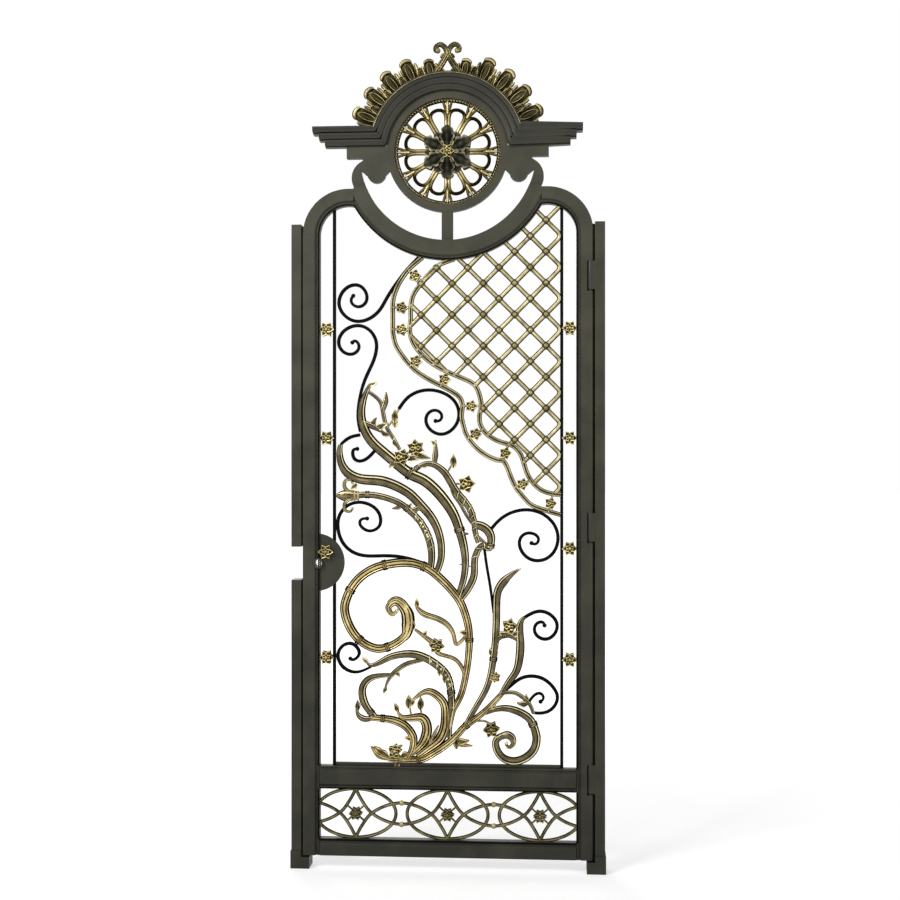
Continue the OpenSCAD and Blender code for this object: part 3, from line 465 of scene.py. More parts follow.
# Lines of the leafwork on the grid, each with its widths in millimetres
STEMS = {
    "main_stem": [
        ([(-75, 385), (-79, 381), (-85, 367), (-87, 355), (-86, 345), (-82, 334), (-75, 324),
         (-65, 315), (-53, 305), (-38, 293), (-24, 287), (-12, 277), (-1, 264), (7, 251), (12, 237),
         (16, 222), (18, 207), (17, 192), (14, 180), (10, 169)], (3, 17, 22, 24, 26, 25, 21, 16, 14)),
        ([(-82, 377), (-72, 370), (-67, 364), (-65, 355), (-63, 345), (-60, 337), (-54, 328),
         (-48, 317)], (8, 10, 8)),
        ([(-65, 358), (-62, 366), (-62, 375)], (12, 12, 3)),
        ([(-86, 345), (-76, 341), (-62, 333)], (10, 14, 4)),
    ],
    "vine_stem": [
        ([(-37, 294), (-26, 302), (-16, 303), (-8, 299), (-1, 292), (9, 275), (17, 266), (23, 257),
         (26, 248), (27, 242), (28, 233), (31, 224)], (10, 14, 18, 16, 14, 12)),
        ([(-14, 301), (-12, 312), (-12, 327)], (10, 14, 3)),
        ([(3, 284), (6, 272), (12, 264), (17, 255), (22, 247), (27, 241)], (8,)),
        ([(27, 242), (34, 241), (41, 236), (44, 228), (42, 218), (36, 222), (30, 216), (27, 206),
         (27, 193), (24, 184), (19, 175), (13, 167)], (20, 22, 14, 16, 18, 14)),
    ],
    "left_branch": [
        ([(-108, 322), (-109, 314), (-107, 303), (-101, 294), (-92, 289), (-83, 287), (-67, 286),
         (-52, 281), (-38, 273), (-28, 263), (-18, 252), (-11, 240), (-7, 227), (-6, 215), (-7, 205),
         (-11, 194)], (10, 21, 23, 21, 17, 14)),
        ([(-90, 271), (-83, 272), (-71, 271), (-59, 268), (-47, 263), (-37, 255), (-28, 246),
         (-22, 236), (-18, 226), (-16, 215), (-16, 205), (-17, 198)], (14, 14, 15, 17, 14)),
        ([(-37, 256), (-32, 257), (-26, 261)], (12,)),
        ([(-112, 271), (-104, 271), (-90, 271)], (8, 26, 12)),
        ([(-45, 262), (-50, 259), (-56, 258)], (8, 10, 2)),
    ],
    "big_volute": [
        ([(2, 38), (4, 48), (6, 57), (10, 64), (15, 76), (19, 95), (21, 110), (22, 127), (21, 140),
         (18, 152), (13, 165), (3, 178), (-8, 189), (-21, 199), (-37, 204), (-56, 203), (-74, 198),
         (-88, 189), (-97, 178), (-102, 167), (-104, 157), (-101, 144), (-93, 130), (-82, 121),
         (-69, 117), (-55, 121), (-44, 129), (-39, 139), (-39, 150), (-42, 160), (-48, 166), (-54, 167),
         (-59, 163)], (11, 16, 18, 20, 22, 22, 22, 20, 18, 12)),
        ([(20, 133), (9, 121), (6, 133), (0, 142), (-10, 148), (-23, 152), (-30, 158), (-32, 164)], (8,
         10, 14, 14, 4)),
        ([(-33, 137), (-22, 129), (-12, 121), (-10, 113), (5, 109), (13, 102), (17, 92), (17, 81)], (6,
         14, 10, 10, 8)),
    ],
    "low_left_stem": [
        ([(-82, 105), (-78, 100), (-69, 103), (-58, 109), (-45, 112), (-33, 112), (-21, 108),
         (-10, 101), (-1, 92), (3, 80), (4, 66), (4, 56), (2, 46), (1, 29)], (4, 14, 18, 18, 16, 14)),
        ([(-22, 107), (-31, 105), (-42, 102), (-52, 95), (-59, 87), (-63, 77)], (7, 11, 11, 4)),
        ([(-55, 91), (-69, 90), (-79, 87), (-85, 80), (-86, 71), (-83, 61), (-77, 53), (-73, 49)], (8,
         16, 18, 13)),
        ([(-92, 59), (-90, 50), (-82, 46), (-73, 49)], (3, 14, 10)),
    ],
    "low_left_leaves": [
        ([(-77, 48), (-62, 47), (-52, 45), (-42, 40), (-35, 31), (-34, 23), (-36, 15), (-40, 7)], (14,
         19, 18, 13)),
        ([(-51, 57), (-47, 49), (-37, 48), (-26, 49), (-21, 42), (-21, 32), (-26, 22), (-36, 12)], (3,
         15, 22, 24, 12)),
        ([(-35, 66), (-26, 73), (-18, 75), (-9, 70), (-3, 62), (-2, 50), (-3, 38), (-8, 27), (-18, 19),
         (-30, 10)], (6, 17, 20, 24, 14)),
        ([(-9, 41), (-13, 33), (-18, 22)], (3, 8, 6)),
    ],
    "root_stem": [
        ([(-60, 7), (-42, 6), (-26, 7), (-16, 12), (-1, 22), (9, 31), (17, 40), (28, 48), (41, 59),
         (54, 73)], (13, 18, 18, 17, 15, 13)),
        ([(-77, 19), (-69, 10), (-58, 7)], (4, 16, 10)),
        ([(-44, 6), (-52, 11), (-53, 19)], (10, 12, 4)),
        ([(5, 27), (14, 22), (25, 21)], (8, 12, 3)),
    ],
    "right_stems": [
        ([(18, 41), (28, 59), (38, 76), (43, 91), (46, 108), (48, 126), (49, 146), (49, 162), (50, 175),
         (55, 184), (63, 192), (72, 198)], (12, 14, 16, 17, 18, 20, 4)),
        ([(54, 73), (61, 85), (69, 96), (72, 109), (73, 124), (72, 137), (74, 147), (80, 152)], (12, 17,
         20, 17, 4)),
        ([(46, 120), (49, 126), (54, 131), (62, 132), (69, 128), (73, 124)], (6, 12, 12, 4)),
        ([(54, 74), (66, 75), (74, 71), (82, 64), (86, 54)], (8, 10, 8)),
    ],
    "low_right_volute": [
        ([(38, 54), (48, 58), (60, 59), (73, 55), (83, 48), (88, 36), (89, 27), (86, 17), (77, 9),
         (66, 6), (56, 9), (50, 16), (48, 25), (52, 30), (59, 32), (64, 29), (66, 25)], (10, 18, 20, 20,
         18, 16, 12)),
        ([(28, 46), (38, 46), (45, 41)], (5,)),
    ],
}
TOP_SCROLL = [(-29, 510), (-41, 498), (-50, 486), (-60, 472), (-65, 462), (-70, 455), (-79, 448),
         (-90, 445.5), (-99, 448), (-107, 455), (-111, 466), (-105, 479), (-94, 484), (-85, 481),
         (-80, 471), (-83, 463), (-90, 460), (-96, 463), (-98, 468), (-95, 472)]
UNDER_SCROLL = [(-96, 425), (-93, 428), (-88, 422), (-91, 415), (-99, 412), (-108, 417), (-111, 427),
         (-105, 438), (-91, 443.5), (-79, 439), (-72, 429), (-71, 419), (-74, 407), (-79, 397),
         (-84, 386), (-87, 376), (-90, 362), (-91, 347), (-88, 335)]
MIDDLE_SCROLL = [(-49, 358), (-45, 364), (-39, 371), (-29, 376), (-18, 377.5), (-7, 375.5), (3, 370.5),
         (9.5, 363), (12, 354), (10.5, 344.5), (4.5, 336.5), (-4, 332), (-13, 333.5), (-20, 339.5),
         (-22.5, 347.5), (-19.5, 354.5), (-13, 357.5), (-7, 355), (-5, 350), (-8, 345.5), (-12, 346)]
LEAF_SCROLL = [(-88, 332), (-95, 331), (-102, 328), (-108, 322)]
STEM_CURL = [(-70, 320), (-76, 313), (-81, 308), (-88, 305), (-94, 307), (-96, 313), (-95, 318),
         (-91, 318)]
LONG_SCROLL = [(-20, 201), (-31, 206), (-47, 210), (-62, 211), (-77, 210), (-88, 211), (-98, 215),
         (-106, 223), (-110, 233), (-111, 242), (-110, 250), (-105, 258), (-98, 263), (-88, 265),
         (-77, 262), (-69, 255), (-67, 247), (-68, 240), (-74, 236), (-80, 235), (-87, 239), (-89, 244),
         (-87, 248), (-81, 248)]
LOW_SCROLL = [(-98, 107), (-95, 105), (-90, 109), (-88, 114), (-93, 121), (-99, 123), (-107, 120),
         (-111, 112), (-110, 105), (-105, 97), (-95, 93), (-87, 94), (-77, 99)]
KNOT_SCROLL = [(43, 237), (52, 248), (64, 255), (78, 258), (92, 255.5), (103, 248), (109.5, 238),
         (111, 226.5), (107, 215), (99, 208), (90, 206), (81, 208), (74, 215), (71, 224), (74, 232),
         (82, 235), (89.5, 232), (92, 227), (88, 222), (84, 224)]
KNOT_ROD = [(37, 218), (39, 202), (42, 186), (44, 173), (46, 154)]
SMALL_SCROLL = [(76, 149), (85, 155), (95, 157), (105, 152), (111, 143), (107, 132), (98, 127),
         (89, 131), (86, 138), (89, 145), (96, 146), (97, 142)]
WIDE_SCROLL = [(59, 78), (64, 82), (73, 90), (85, 92), (98, 89), (108, 78), (111, 69), (105, 58), (95, 54),
         (85, 55)]
TWIG_CURL = [(81, 65), (87, 74), (94, 75), (97, 69), (93, 66)]
BORDER_IN = [(7, 508), (-7, 503), (-17, 495), (-28, 482), (-35, 471), (-37, 458), (-37, 448),
         (-38, 436), (-35, 425), (-29, 416), (-20, 407), (-8, 399), (7, 392), (21, 386), (28, 381),
         (32, 372), (34, 361), (32, 351), (33, 342), (39, 333), (50, 326), (60, 323), (67, 320),
         (73, 313), (76, 305), (79, 295), (84, 286), (92, 278), (101, 274), (114, 272)]
BORDER_OUT = [(-25, 510), (-38, 499), (-47, 487), (-52, 477), (-55, 466), (-55, 448), (-55, 435),
         (-52, 422), (-45, 411), (-36, 400), (-26, 392), (-14, 385), (0, 378), (12, 370), (15, 361),
         (14, 351), (16, 341), (19, 332), (27, 321), (38, 312), (49, 307), (56, 306), (60, 299),
         (63, 291), (68, 280), (75, 271), (84, 262), (97, 257), (114, 252)]

# Leaves on the stems: place on the grid, heading, length, half width, bend and lobes
SPRIGS = {
    "main_stem": [(-78, 382, 35, 24, 5, -30, 0), (-76, 340, 80, 34, 7, -30, 1), (-72, 338, 35, 44, 8, -20, 2),
                  (-66, 334, -20, 30, 6, 20, 1), (-52, 322, 120, 24, 6, -40, 0),
                  (-36, 314, -20, 62, 9, 10, 1), (-40, 308, 15, 44, 8, -20, 1),
                  (-50, 306, 200, 34, 8, 30, 1)],
    "vine_stem": [(-12, 322, 115, 22, 6, 50, 0), (-20, 303, 205, 30, 6, -40, 0),
                  (43, 222, -60, 18, 5, 40, 0)],
    "left_branch": [(-40, 258, 70, 22, 5, -30, 0), (-92, 283, 235, 26, 6, -30, 0)],
    "big_volute": [(-31, 160, 80, 26, 6, 30, 0), (-34, 138, 120, 30, 8, -50, 1), (-24, 131, 60, 18, 5, 0, 0),
                   (20, 133, 150, 26, 6, 30, 0)],
    "low_left_stem": [(-80, 103, 135, 26, 5, 10, 0), (-62, 79, 250, 22, 5, 0, 0), (-52, 95, -50, 20, 5, 0, 0),
                      (-90, 56, 100, 30, 7, -10, 1)],
    "low_left_leaves": [(-50, 55, 105, 26, 6, 20, 0), (-34, 66, 220, 26, 7, 40, 0),
                        (-22, 20, 75, 44, 7, -10, 1), (-36, 26, 130, 24, 5, 60, 0)],
    "root_stem": [(-60, 9, 140, 56, 8, 10, 2), (-52, 14, 75, 30, 7, -60, 1), (-46, 10, 40, 26, 7, -60, 1),
                  (8, 26, -10, 44, 7, 25, 1), (10, 33, 60, 24, 6, -20, 0), (-50, 4, 250, 20, 6, 40, 0)],
    "right_stems": [(45, 112, 120, 26, 6, -20, 0), (47, 116, 60, 28, 6, 10, 0), (58, 132, 150, 22, 6, 0, 0),
                    (66, 132, 40, 22, 6, 0, 0), (80, 64, 190, 34, 7, -30, 1), (80, 66, 110, 26, 6, -20, 0)],
    "low_right_volute": [(50, 59, 160, 24, 5, 0, 0)],
}
# Raised bindings on the stems: which line, and where along it
BINDINGS = {
    "main_stem": [(0, 0.475), (0, 0.735)],
    "vine_stem": [(0, 0.05), (3, 0.32)],
    "left_branch": [(1, 0.1), (1, 0.42)],
    "big_volute": [(0, 0.41), (0, 0.484), (0, 0.568), (0, 0.697), (0, 0.769), (0, 0.22)],
    "low_left_stem": [(0, 0.72), (2, 0.86)],
    "low_left_leaves": [(0, 0.12)],
    "root_stem": [(0, 0.2), (0, 0.68)],
    "right_stems": [(0, 0.36), (2, 0.5)],
    "low_right_volute": [(0, 0.28)],
}
# Strands wound round the stems: which line, from where to where, and turns
WINDINGS = {
    "vine_stem": [(0, 0.42, 0.95, 7), (3, 0.3, 0.62, 4)],
    "left_branch": [(1, 0.45, 0.8, 5)],
    "low_left_stem": [(0, 0.45, 0.75, 6)],
}
# Small berries in a row along a stem: which line, from where to where, how many
BERRIES = {
    "left_branch": [(1, 0.5, 0.7, 7)],
    "low_left_stem": [(0, 0.5, 0.68, 6)],
}
# Curled leaves that close the volutes, and small forked ends, with widths in millimetres
CURLS = {
    "big_volute": [([(-50, 123), (-42, 131), (-39.7, 141), (-40, 151), (-44, 159), (-52, 165), (-59.5, 159),
                     (-55.5, 152), (-50, 156)], (12, 30, 42, 42, 34, 27, 20, 14, 9))],
    "low_right_volute": [([(50, 27), (54, 31), (60, 33), (65, 30), (66, 24), (62, 20), (58, 23)],
                          (14, 18, 21, 20, 16, 12, 7))],
    "vine_stem": [([(28, 233), (33, 228), (40, 222)], (9, 11, 9))],
    "main_stem": [([(-44, 297), (-38, 289), (-33, 291)], (7, 10, 6)),
                  ([(7, 241), (12, 234), (21, 233)], (8, 12, 6)),
                  ([(12, 202), (17, 203), (23, 200)], (3, 6, 3))],
}
# Round tips: place on the grid and radius
TIPS = {
    "big_volute": [(-51, 156, 6)],
    "right_stems": [(72, 198, 5), (80, 152, 4)],
    "low_right_volute": [(59, 24, 6)],
}
WARM_STEMS = ("big_volute", "root_stem", "low_left_leaves")
STEM_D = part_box("main_stem")[1].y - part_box("main_stem")[0].y
# How much fuller the leafwork is drawn than the widths above
STEM_SWELL = {"main_stem": 1.4, "left_branch": 1.45, "vine_stem": 1.35, "low_left_stem": 1.45,
              "root_stem": 1.35, "low_left_leaves": 1.42, "right_stems": 1.4, "big_volute": 1.32,
              "low_right_volute": 1.35}
STRAND_W = 7.5 * MM
BERRY = (4.5 * MM, 4 * MM, 4.5 * MM)
SPRIG_FULLNESS = 1.3
SPRIG_Y = 3 * MM
SPRIG_LIFT = 4 * MM


def stem(node):
    """One group of stems with its leaves, bindings, berries and wound strands."""
    shape = new_shape()
    drawn = [(points, [w * STEM_SWELL[node] for w in widths]) for points, widths in STEMS[node]]
    lines = [(eased(smooth(on_grid(points)), 3), widths) for points, widths in drawn]
    curls = [(smooth(on_grid(points)), widths) for points, widths in CURLS.get(node, ())]
    for line, widths in lines + curls:
        wide = [w * MM for w in widths]
        section = RIBBED if node in WARM_STEMS else BROAD
        sweep(shape, line, section, wide, [min(STEM_D, 0.6 * w + 6 * MM) for w in wide])
    for which, t in BINDINGS.get(node, ()):
        line, widths = lines[which]
        band(shape, line, widths, t, STEM_D)
    for which, start, end, turns in WINDINGS.get(node, ()):
        line, widths = lines[which]
        winding(shape, line, widths, STEM_D, start, end, turns, STRAND_W)
    for which, start, end, count in BERRIES.get(node, ()):
        line = lines[which][0]
        for k in range(count):
            place = line[round((start + (end - start) * k / (count - 1)) * (len(line) - 1))]
            for face in FACES:
                bead(shape, place + Vector((0, face * STEM_D / 2, 0)), BERRY, 0.9, 6)
    for u, v, radius in TIPS.get(node, ()):
        bead(shape, spot(u, v), (radius * MM, radius * MM, radius * MM), 0.9)
    for u, v, heading, length, half, bend, lobes in SPRIGS.get(node, ()):
        for face in FACES:
            root = spot(u, v, face * SPRIG_Y)
            half_width = SPRIG_FULLNESS * half * MM
            leaf(shape, root, heading, length * MM, half_width, BLADE, face, bend, lobes, SPRIG_LIFT)
    gilt = WARM_GILT if node in WARM_STEMS else BRONZE_GILT
    finish_piece(node + "_leafwork", shape, gilt, [node])


# Fleur at the end of the left branch: half of it, as places from its row, and widths in millimetres
FLEUR_ROW = 271
FLEUR_CURL = [(-94, 2), (-100, 4), (-104, 9), (-103, 15), (-98, 16), (-96, 13)]
FLEUR_WIDTHS = (12, 13, 12, 10, 8, 6)
FLEUR_RIB = [(-90, 2), (-97, 3.5), (-103, 2.5), (-108, 0.5)]
FLEUR_BULB = (5 * MM, 7 * MM, 5 * MM)
COLLAR_PLACES = (-90, -93.5)
COLLAR = (5 * MM, 0.65 * STEM_D, 17 * MM)


def branch_fleur():
    shape = new_shape()
    for up in (-1, 1):
        for points, widths in ((FLEUR_CURL, FLEUR_WIDTHS), (FLEUR_RIB, FLEUR_WIDTHS[:3])):
            line = smooth(on_grid([(u, FLEUR_ROW + up * v) for u, v in points]))
            sweep(shape, line, RIBBED, [w * MM for w in widths], [0.8 * STEM_D])
        u, v = FLEUR_CURL[-1]
        bead(shape, spot(u, FLEUR_ROW + up * v), FLEUR_BULB, 1.0)
    for u in COLLAR_PLACES:
        bead(shape, spot(u, FLEUR_ROW), COLLAR, 1.0)
    finish_piece("branch_fleur", shape, LEAF_GILT)


# Flowers and buds: place on the grid and radius
BLOOMS = [(-46, 310, 19), (-32, 319, 20), (19, 283, 20), (-11, 121, 18), (62, 141, 18),
          (44, 38, 19), (-53, 15, 16), (48, 90, 12)]
BUDS = [(-53, 350, 9), (-53, 345, 8), (6, 305, 9), (-39, 64, 9), (-27, 62, 9), (9, 24, 9), (-8, 95, 6),
        (-3, 88, 6), (1, 76, 5)]
STALKS = [[(-32, 319), (-46, 310)], [(13, 283), (6, 283)], [(62, 141), (62, 131)],
          [(-53, 350), (-49, 358)], [(-53, 350), (-60, 340)], [(6, 305), (-1, 293)],
          [(-39, 64), (-36, 48)], [(-27, 62), (-26, 48)]]
STALK_W = 6 * MM
BLOOM_Y = 9 * MM
BLOOM_SPREAD = 1.45
BLOOM_TURN = 37
BUD_LEANS = (-24, 0, 24)


def flowers():
    shape = new_shape()
    for k, (u, v, radius) in enumerate(BLOOMS):
        bead(shape, spot(u, v), (0.5 * radius * MM, BLOOM_Y, 0.5 * radius * MM), 0.1)
        for face in FACES:
            centre = spot(u, v, face * 0.7 * BLOOM_Y)
            flower(shape, centre, BLOOM_SPREAD * radius * MM, 5 + k % 2, face, turn=BLOOM_TURN * k)
    for u, v, radius in BUDS:
        bead(shape, spot(u, v), (0.85 * radius * MM, radius * MM, 1.8 * radius * MM), 0.3)
        for face in FACES:
            root = spot(u, v, face * 0.75 * radius * MM) - Vector((0, 0, 1.8 * radius * MM))
            for lean in BUD_LEANS:
                long, half = 4.6 * radius * MM, 0.75 * radius * MM
                leaf(shape, root, 90 + lean, long, half, PETAL, face, -2 * lean, lift=-4 * MM)
    for points in STALKS:
        sweep(shape, smooth(on_grid(points)), ROD, [STALK_W], [STALK_W])
    finish_piece("stem_flowers", shape, LEAF_GILT, ["flowers"])


SCROLL_W = 11 * MM
THIN_W = 9 * MM
BULB = (7 * MM, 5.5 * MM, 7 * MM)
SCROLLS = {
    "upper_scrolls": [(TOP_SCROLL, SCROLL_W, -1), (UNDER_SCROLL, SCROLL_W, 0)],
    "centre_scroll": [(MIDDLE_SCROLL, SCROLL_W, -1)],
    "left_scrolls": [(LEAF_SCROLL, SCROLL_W, None), (STEM_CURL, SCROLL_W, -1), (LONG_SCROLL, SCROLL_W, -1),
                     (LOW_SCROLL, SCROLL_W, 0)],
    "right_scrolls": [(KNOT_SCROLL, SCROLL_W, -1), (KNOT_ROD, THIN_W, None), (SMALL_SCROLL, SCROLL_W, -1),
                      (WIDE_SCROLL, SCROLL_W, None), (TWIG_CURL, THIN_W, -1)],
}


def scrolls(node):
    """Plain forged scrolls, each drawn out a little and curled into a bulb at one end."""
    shape = new_shape()
    for points, width, curled in SCROLLS[node]:
        line = eased(smooth(on_grid(points)), 14)
        drawn = (0.8, 1.0, 1.0, 1.0, 0.7) if curled == 0 else (1.0, 1.0, 1.0, 0.8)
        sweep(shape, line, BAR, [k * width for k in drawn], [SCROLL_W])
        if curled is not None:
            bead(shape, line[curled], BULB, 0.4)
    finish_piece(node + "_bars", shape, BLACK_PAINT, [node])


# Lattice: half its pitch, a level that holds a row of crossings, and the sizes of its bars and knots
LATTICE_STEP = 50 * MM
LATTICE_ROW = PANEL_FOOT + 1347 * MM
LATTICE_W = 15 * MM
LATTICE_D = 12 * MM
KNOT = (13.5 * MM, 10 * MM, 13.5 * MM)
# A small bright bead on each face of a knot: a painted highlight on the knot.
KNOT_HIGHLIGHT = (7 * MM, 3 * MM, 7 * MM)
TURN_SHARES = ((-1, 1), (-0.42, 0.42), (-0.2, 0.18), (-0.14, 0), (-0.2, -0.18), (-0.42, -0.42), (-1, -1))
border_line = smooth(on_grid(BORDER_IN))
border_line.insert(0, border_line[0] + Vector((0, 0, 1)))


def in_lattice(x, z):
    """True for a place between the inner border, the crescent, the arch and the right bar."""
    if x > PANEL_HALF or math.hypot(x, z - CROWN_Z) < CRESCENT_R:
        return False
    if z > SHOULDER_Z:
        under = SHOULDER_R - STILE_W
        if math.hypot(max(0.0, x - SHOULDER_X), z - SHOULDER_Z) > under:
            return False
    inside = False
    for a, b in zip(border_line, border_line[1:]):
        if (a.z > z) != (b.z > z) and x + GATE_X > a.x + (b.x - a.x) * (z - a.z) / (b.z - a.z):
            inside = not inside
    return inside


def lattice_bar(a, b):
    """The stretch of a bar between two crossings that lies in the field, found from the end that does."""
    low, high = 0.0, 1.0
    for _ in range(12):
        middle = (low + high) / 2
        if in_lattice(*(a + (b - a) * middle)):
            low = middle
        else:
            high = middle
    end = a + (b - a) * min(1.0, high + 0.05)
    return [Vector((GATE_X + p.x, 0, p.y)) for p in (a, (a + end) / 2, end)]


def lattice():
    shape = new_shape()
    cell = {(i, j): Vector((BAR_MIDDLE - i * LATTICE_STEP, LATTICE_ROW + j * LATTICE_STEP))
            for i in range(13) for j in range(-12, 10) if (i + j) % 2}
    for (i, j), here in cell.items():
        if i == 0 and in_lattice(PANEL_HALF - MM, here.y):
            turn = [here + Vector((u, v)) * LATTICE_STEP for u, v in TURN_SHARES]
            kept = [p for p in turn if in_lattice(min(p.x, PANEL_HALF - MM), p.y)]
            line = [Vector((GATE_X + p.x, 0, p.y)) for p in kept]
            if len(line) > 2:
                sweep(shape, smooth(line, 3), ROD, [LATTICE_W], [LATTICE_D])
        if not in_lattice(here.x, here.y):
            continue
        knot = Vector((GATE_X + here.x, 0, here.y))
        bead(shape, knot, KNOT, 0.25)
        # A painted highlight bead on each face of the knot
        for face in FACES:
            bead(shape, knot + Vector((0, face * KNOT[1], 0)), KNOT_HIGHLIGHT, 0.65, 4)
        for di, dj in ((1, 1), (1, -1), (-1, 1), (-1, -1)):
            other = cell.get((i + di, j + dj))
            turned = i + di == 0 and other and in_lattice(PANEL_HALF - MM, other.y)
            if other is None or turned or di == -1 and in_lattice(other.x, other.y):
                continue
            sweep(shape, lattice_bar(here, other), ROD, [LATTICE_W], [LATTICE_D])
    finish_piece("lattice_rods", shape, PALE_GILT, ["lattice"])


# Rosettes on the lattice border: place, and the slant of the link behind each
BORDER_FLOWERS = [(-33, 492, -42), (-46, 460, 0), (-46, 438, 0), (-32, 406, 42), (-3, 388, 63), (24, 361, 0),
                  (28, 333, 32), (58, 314, 72), (75, 283, 24), (103, 264, 76)]
BORDER_W = 15.5 * MM
BORDER_D = 16 * MM
LINK_HALF = 9.375
LINK_W = 8 * MM
BORDER_ROSETTE_R = 20.7 * MM
ROSETTE_Y = 7 * MM


def lattice_border():
    shape = new_shape()
    for points in (BORDER_IN, BORDER_OUT):
        line = [p for p in eased(smooth(on_grid(points), 12), 9) if p.x < GATE_X + PANEL_HALF + 4 * MM]
        line = [p for p in line if math.hypot(p.x - GATE_X, p.z - CROWN_Z) > CRESCENT_R - 8 * MM]
        sweep(shape, line, GROOVED, [BORDER_W], [BORDER_D])
    for u, v, slant in BORDER_FLOWERS:
        reach = LINK_HALF * math.cos(math.radians(slant)), LINK_HALF * math.sin(math.radians(slant))
        ends = on_grid([(u - reach[0], v - reach[1]), (u, v), (u + reach[0], v + reach[1])])
        sweep(shape, ends, ROD, [LINK_W], [LATTICE_D])
    finish_piece("border_bars", shape, PALE_GILT, ["lattice_border"])


def rosette(shape, centre, radius, petals, faces=FACES):
    for face in faces:
        flower(shape, centre + Vector((0, face * ROSETTE_Y, 0)), radius, petals, face, 0.2)


def border_rosettes():
    shape = new_shape()
    for u, v, _ in BORDER_FLOWERS:
        rosette(shape, spot(u, v), BORDER_ROSETTE_R, 5)
    finish_piece("border_flowers", shape, LEAF_GILT, ["border_rosettes"])


# Rosettes between the bars and the stiles, by height above the middle rail
ROSETTE_HEIGHTS = (347 * MM, 1053 * MM, 1403 * MM)
LOCK_ROSETTE = 688 * MM
HINGE_ROSETTE = 701 * MM
ROSETTE_X = (STILE_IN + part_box("right_bar")[1].x - GATE_X) / 2
SIDE_ROSETTE_R = STILE_IN - ROSETTE_X + 2 * MM
SIDE_BLOOM_R = 1.1 * SIDE_ROSETTE_R
SIDE_HUB = (0.7 * SIDE_ROSETTE_R, 8 * MM, 0.7 * SIDE_ROSETTE_R)


def side_rosettes(name, side, node):
    shape = new_shape()
    for height in ROSETTE_HEIGHTS + (() if side < 0 else (HINGE_ROSETTE,)):
        centre = Vector((GATE_X + side * ROSETTE_X, 0, PANEL_FOOT + height))
        bead(shape, centre, SIDE_HUB, 0.0)
        rosette(shape, centre, SIDE_BLOOM_R, 6)
    if side < 0:
        plate_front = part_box("left_rosettes")[0].y
        centre = Vector((GATE_X - ROSETTE_X, plate_front / 2 - ROSETTE_Y / 2, PANEL_FOOT + LOCK_ROSETTE))
        rosette(shape, centre, SIDE_BLOOM_R, 6, FACES[:1])
    finish_piece(name, shape, LEAF_GILT, [node])


# Rose window: rods round each petal opening, a forked end on each spoke and a roped rim
SPOKES = 12
ROSE_ROD = 11.5 * MM
ROSE_D = 11 * MM
PETAL_TONES = (1.1, 1.0, 0.7, 0.12, 0.05, 0.12, 0.7, 1.0, 1.1)
# Half of a petal opening's rod, from the hub to its tip: shares of the rose's radius and of a spoke's spread
PETAL_PLACES = [(0.2, 0.66), (0.42, 0.76), (0.62, 0.83), (0.73, 0.73), (0.79, 0.46), (0.81, 0.0)]
FORK_TURNS = ((-5, 0.5), (0, 1.1), (5, 0.5))
FORK_R = 0.7 * ROSE_R
FORK_IN = 8 * MM
FORK_WIDTHS = (6 * MM, 10 * MM, 8 * MM)
FORK_BEAD_R = 0.74 * ROSE_R
FORK_BEAD = (5 * MM, 7 * MM, 5 * MM)
RING_IN = 9 * MM
RING_W = 5 * MM
RIM_IN = 3 * MM
RIM_W = 10 * MM
RIM_D = 18 * MM


def about_crown(radius, angle, y=0.0):
    turn = math.radians(angle)
    return Vector((GATE_X + radius * math.cos(turn), y, CROWN_Z + radius * math.sin(turn)))


def rose_window():
    shape = new_shape()
    half_turn = 180 / SPOKES
    for k in range(SPOKES):
        middle = half_turn * (2 * k + 1)
        up = [about_crown(out * ROSE_R, middle - spread * half_turn) for out, spread in PETAL_PLACES]
        back = reversed(PETAL_PLACES[:-1])
        down = [about_crown(out * ROSE_R, middle + spread * half_turn) for out, spread in back]
        sweep(shape, smooth(up + down, 4), ROD, [ROSE_ROD], [ROSE_D], tones=PETAL_TONES)
        spoke = middle + half_turn
        fork = about_crown(FORK_R, spoke)
        for turn, tone in FORK_TURNS:
            tip = about_crown(ROSE_R - FORK_IN, spoke + turn)
            line = smooth([fork, (fork + tip) / 2, tip], 2)
            sweep(shape, line, ROD, FORK_WIDTHS, [ROSE_D], tones=(tone,))
        bead(shape, about_crown(FORK_BEAD_R, spoke), FORK_BEAD, 1.0, 6)
    ring = arc((GATE_X, CROWN_Z), ROSE_R - RING_IN, 0, 360, 72)[:-1]
    sweep(shape, ring, ROD, [RING_W], [ROSE_D], True, tones=(0.1,))
    rim = arc((GATE_X, CROWN_Z), ROSE_R - RIM_IN, 0, 360, 216)[:-1]
    sweep(shape, rim, ROPE, [RIM_W], [RIM_D], True, math.tau / 6, (1.25,))
    finish_piece("rose_tracery", shape, BRIGHT_GILT, ["rose_window"])


# Boss of leaves at the middle of the rose, and the small flower on it
BOSS_LEAVES = 6
BOSS_Y = 19 * MM
BOSS_ROOT = 13 * MM
BOSS_FALL = -9 * MM
BOSS_FLOWER_R = 24 * MM
# Two rings of leaves: length, half width, distance from the middle plane, and turn
BOSS_RINGS = ((72 * MM, 25 * MM, BOSS_Y, 30), (62 * MM, 19 * MM, 12 * MM, 0))


def rose_boss():
    shape = new_shape()
    heart = new_shape()
    for face in FACES:
        for length, half, y, turn in BOSS_RINGS:
            for k in range(BOSS_LEAVES):
                heading = turn + 360 * k / BOSS_LEAVES
                root = about_crown(BOSS_ROOT, heading, face * y)
                leaf(shape, root, heading, length, half, LOBED, face, 0, 3, BOSS_FALL, 0.2, 4 * MM)
        flower(heart, about_crown(0, 0, face * (BOSS_Y + MM)), BOSS_FLOWER_R, 6, face, 0.2)
    finish_piece("boss_leaves", shape, BOSS_GILT, ["rose_boss"])
    finish_piece("boss_flower", heart, LEAF_GILT)


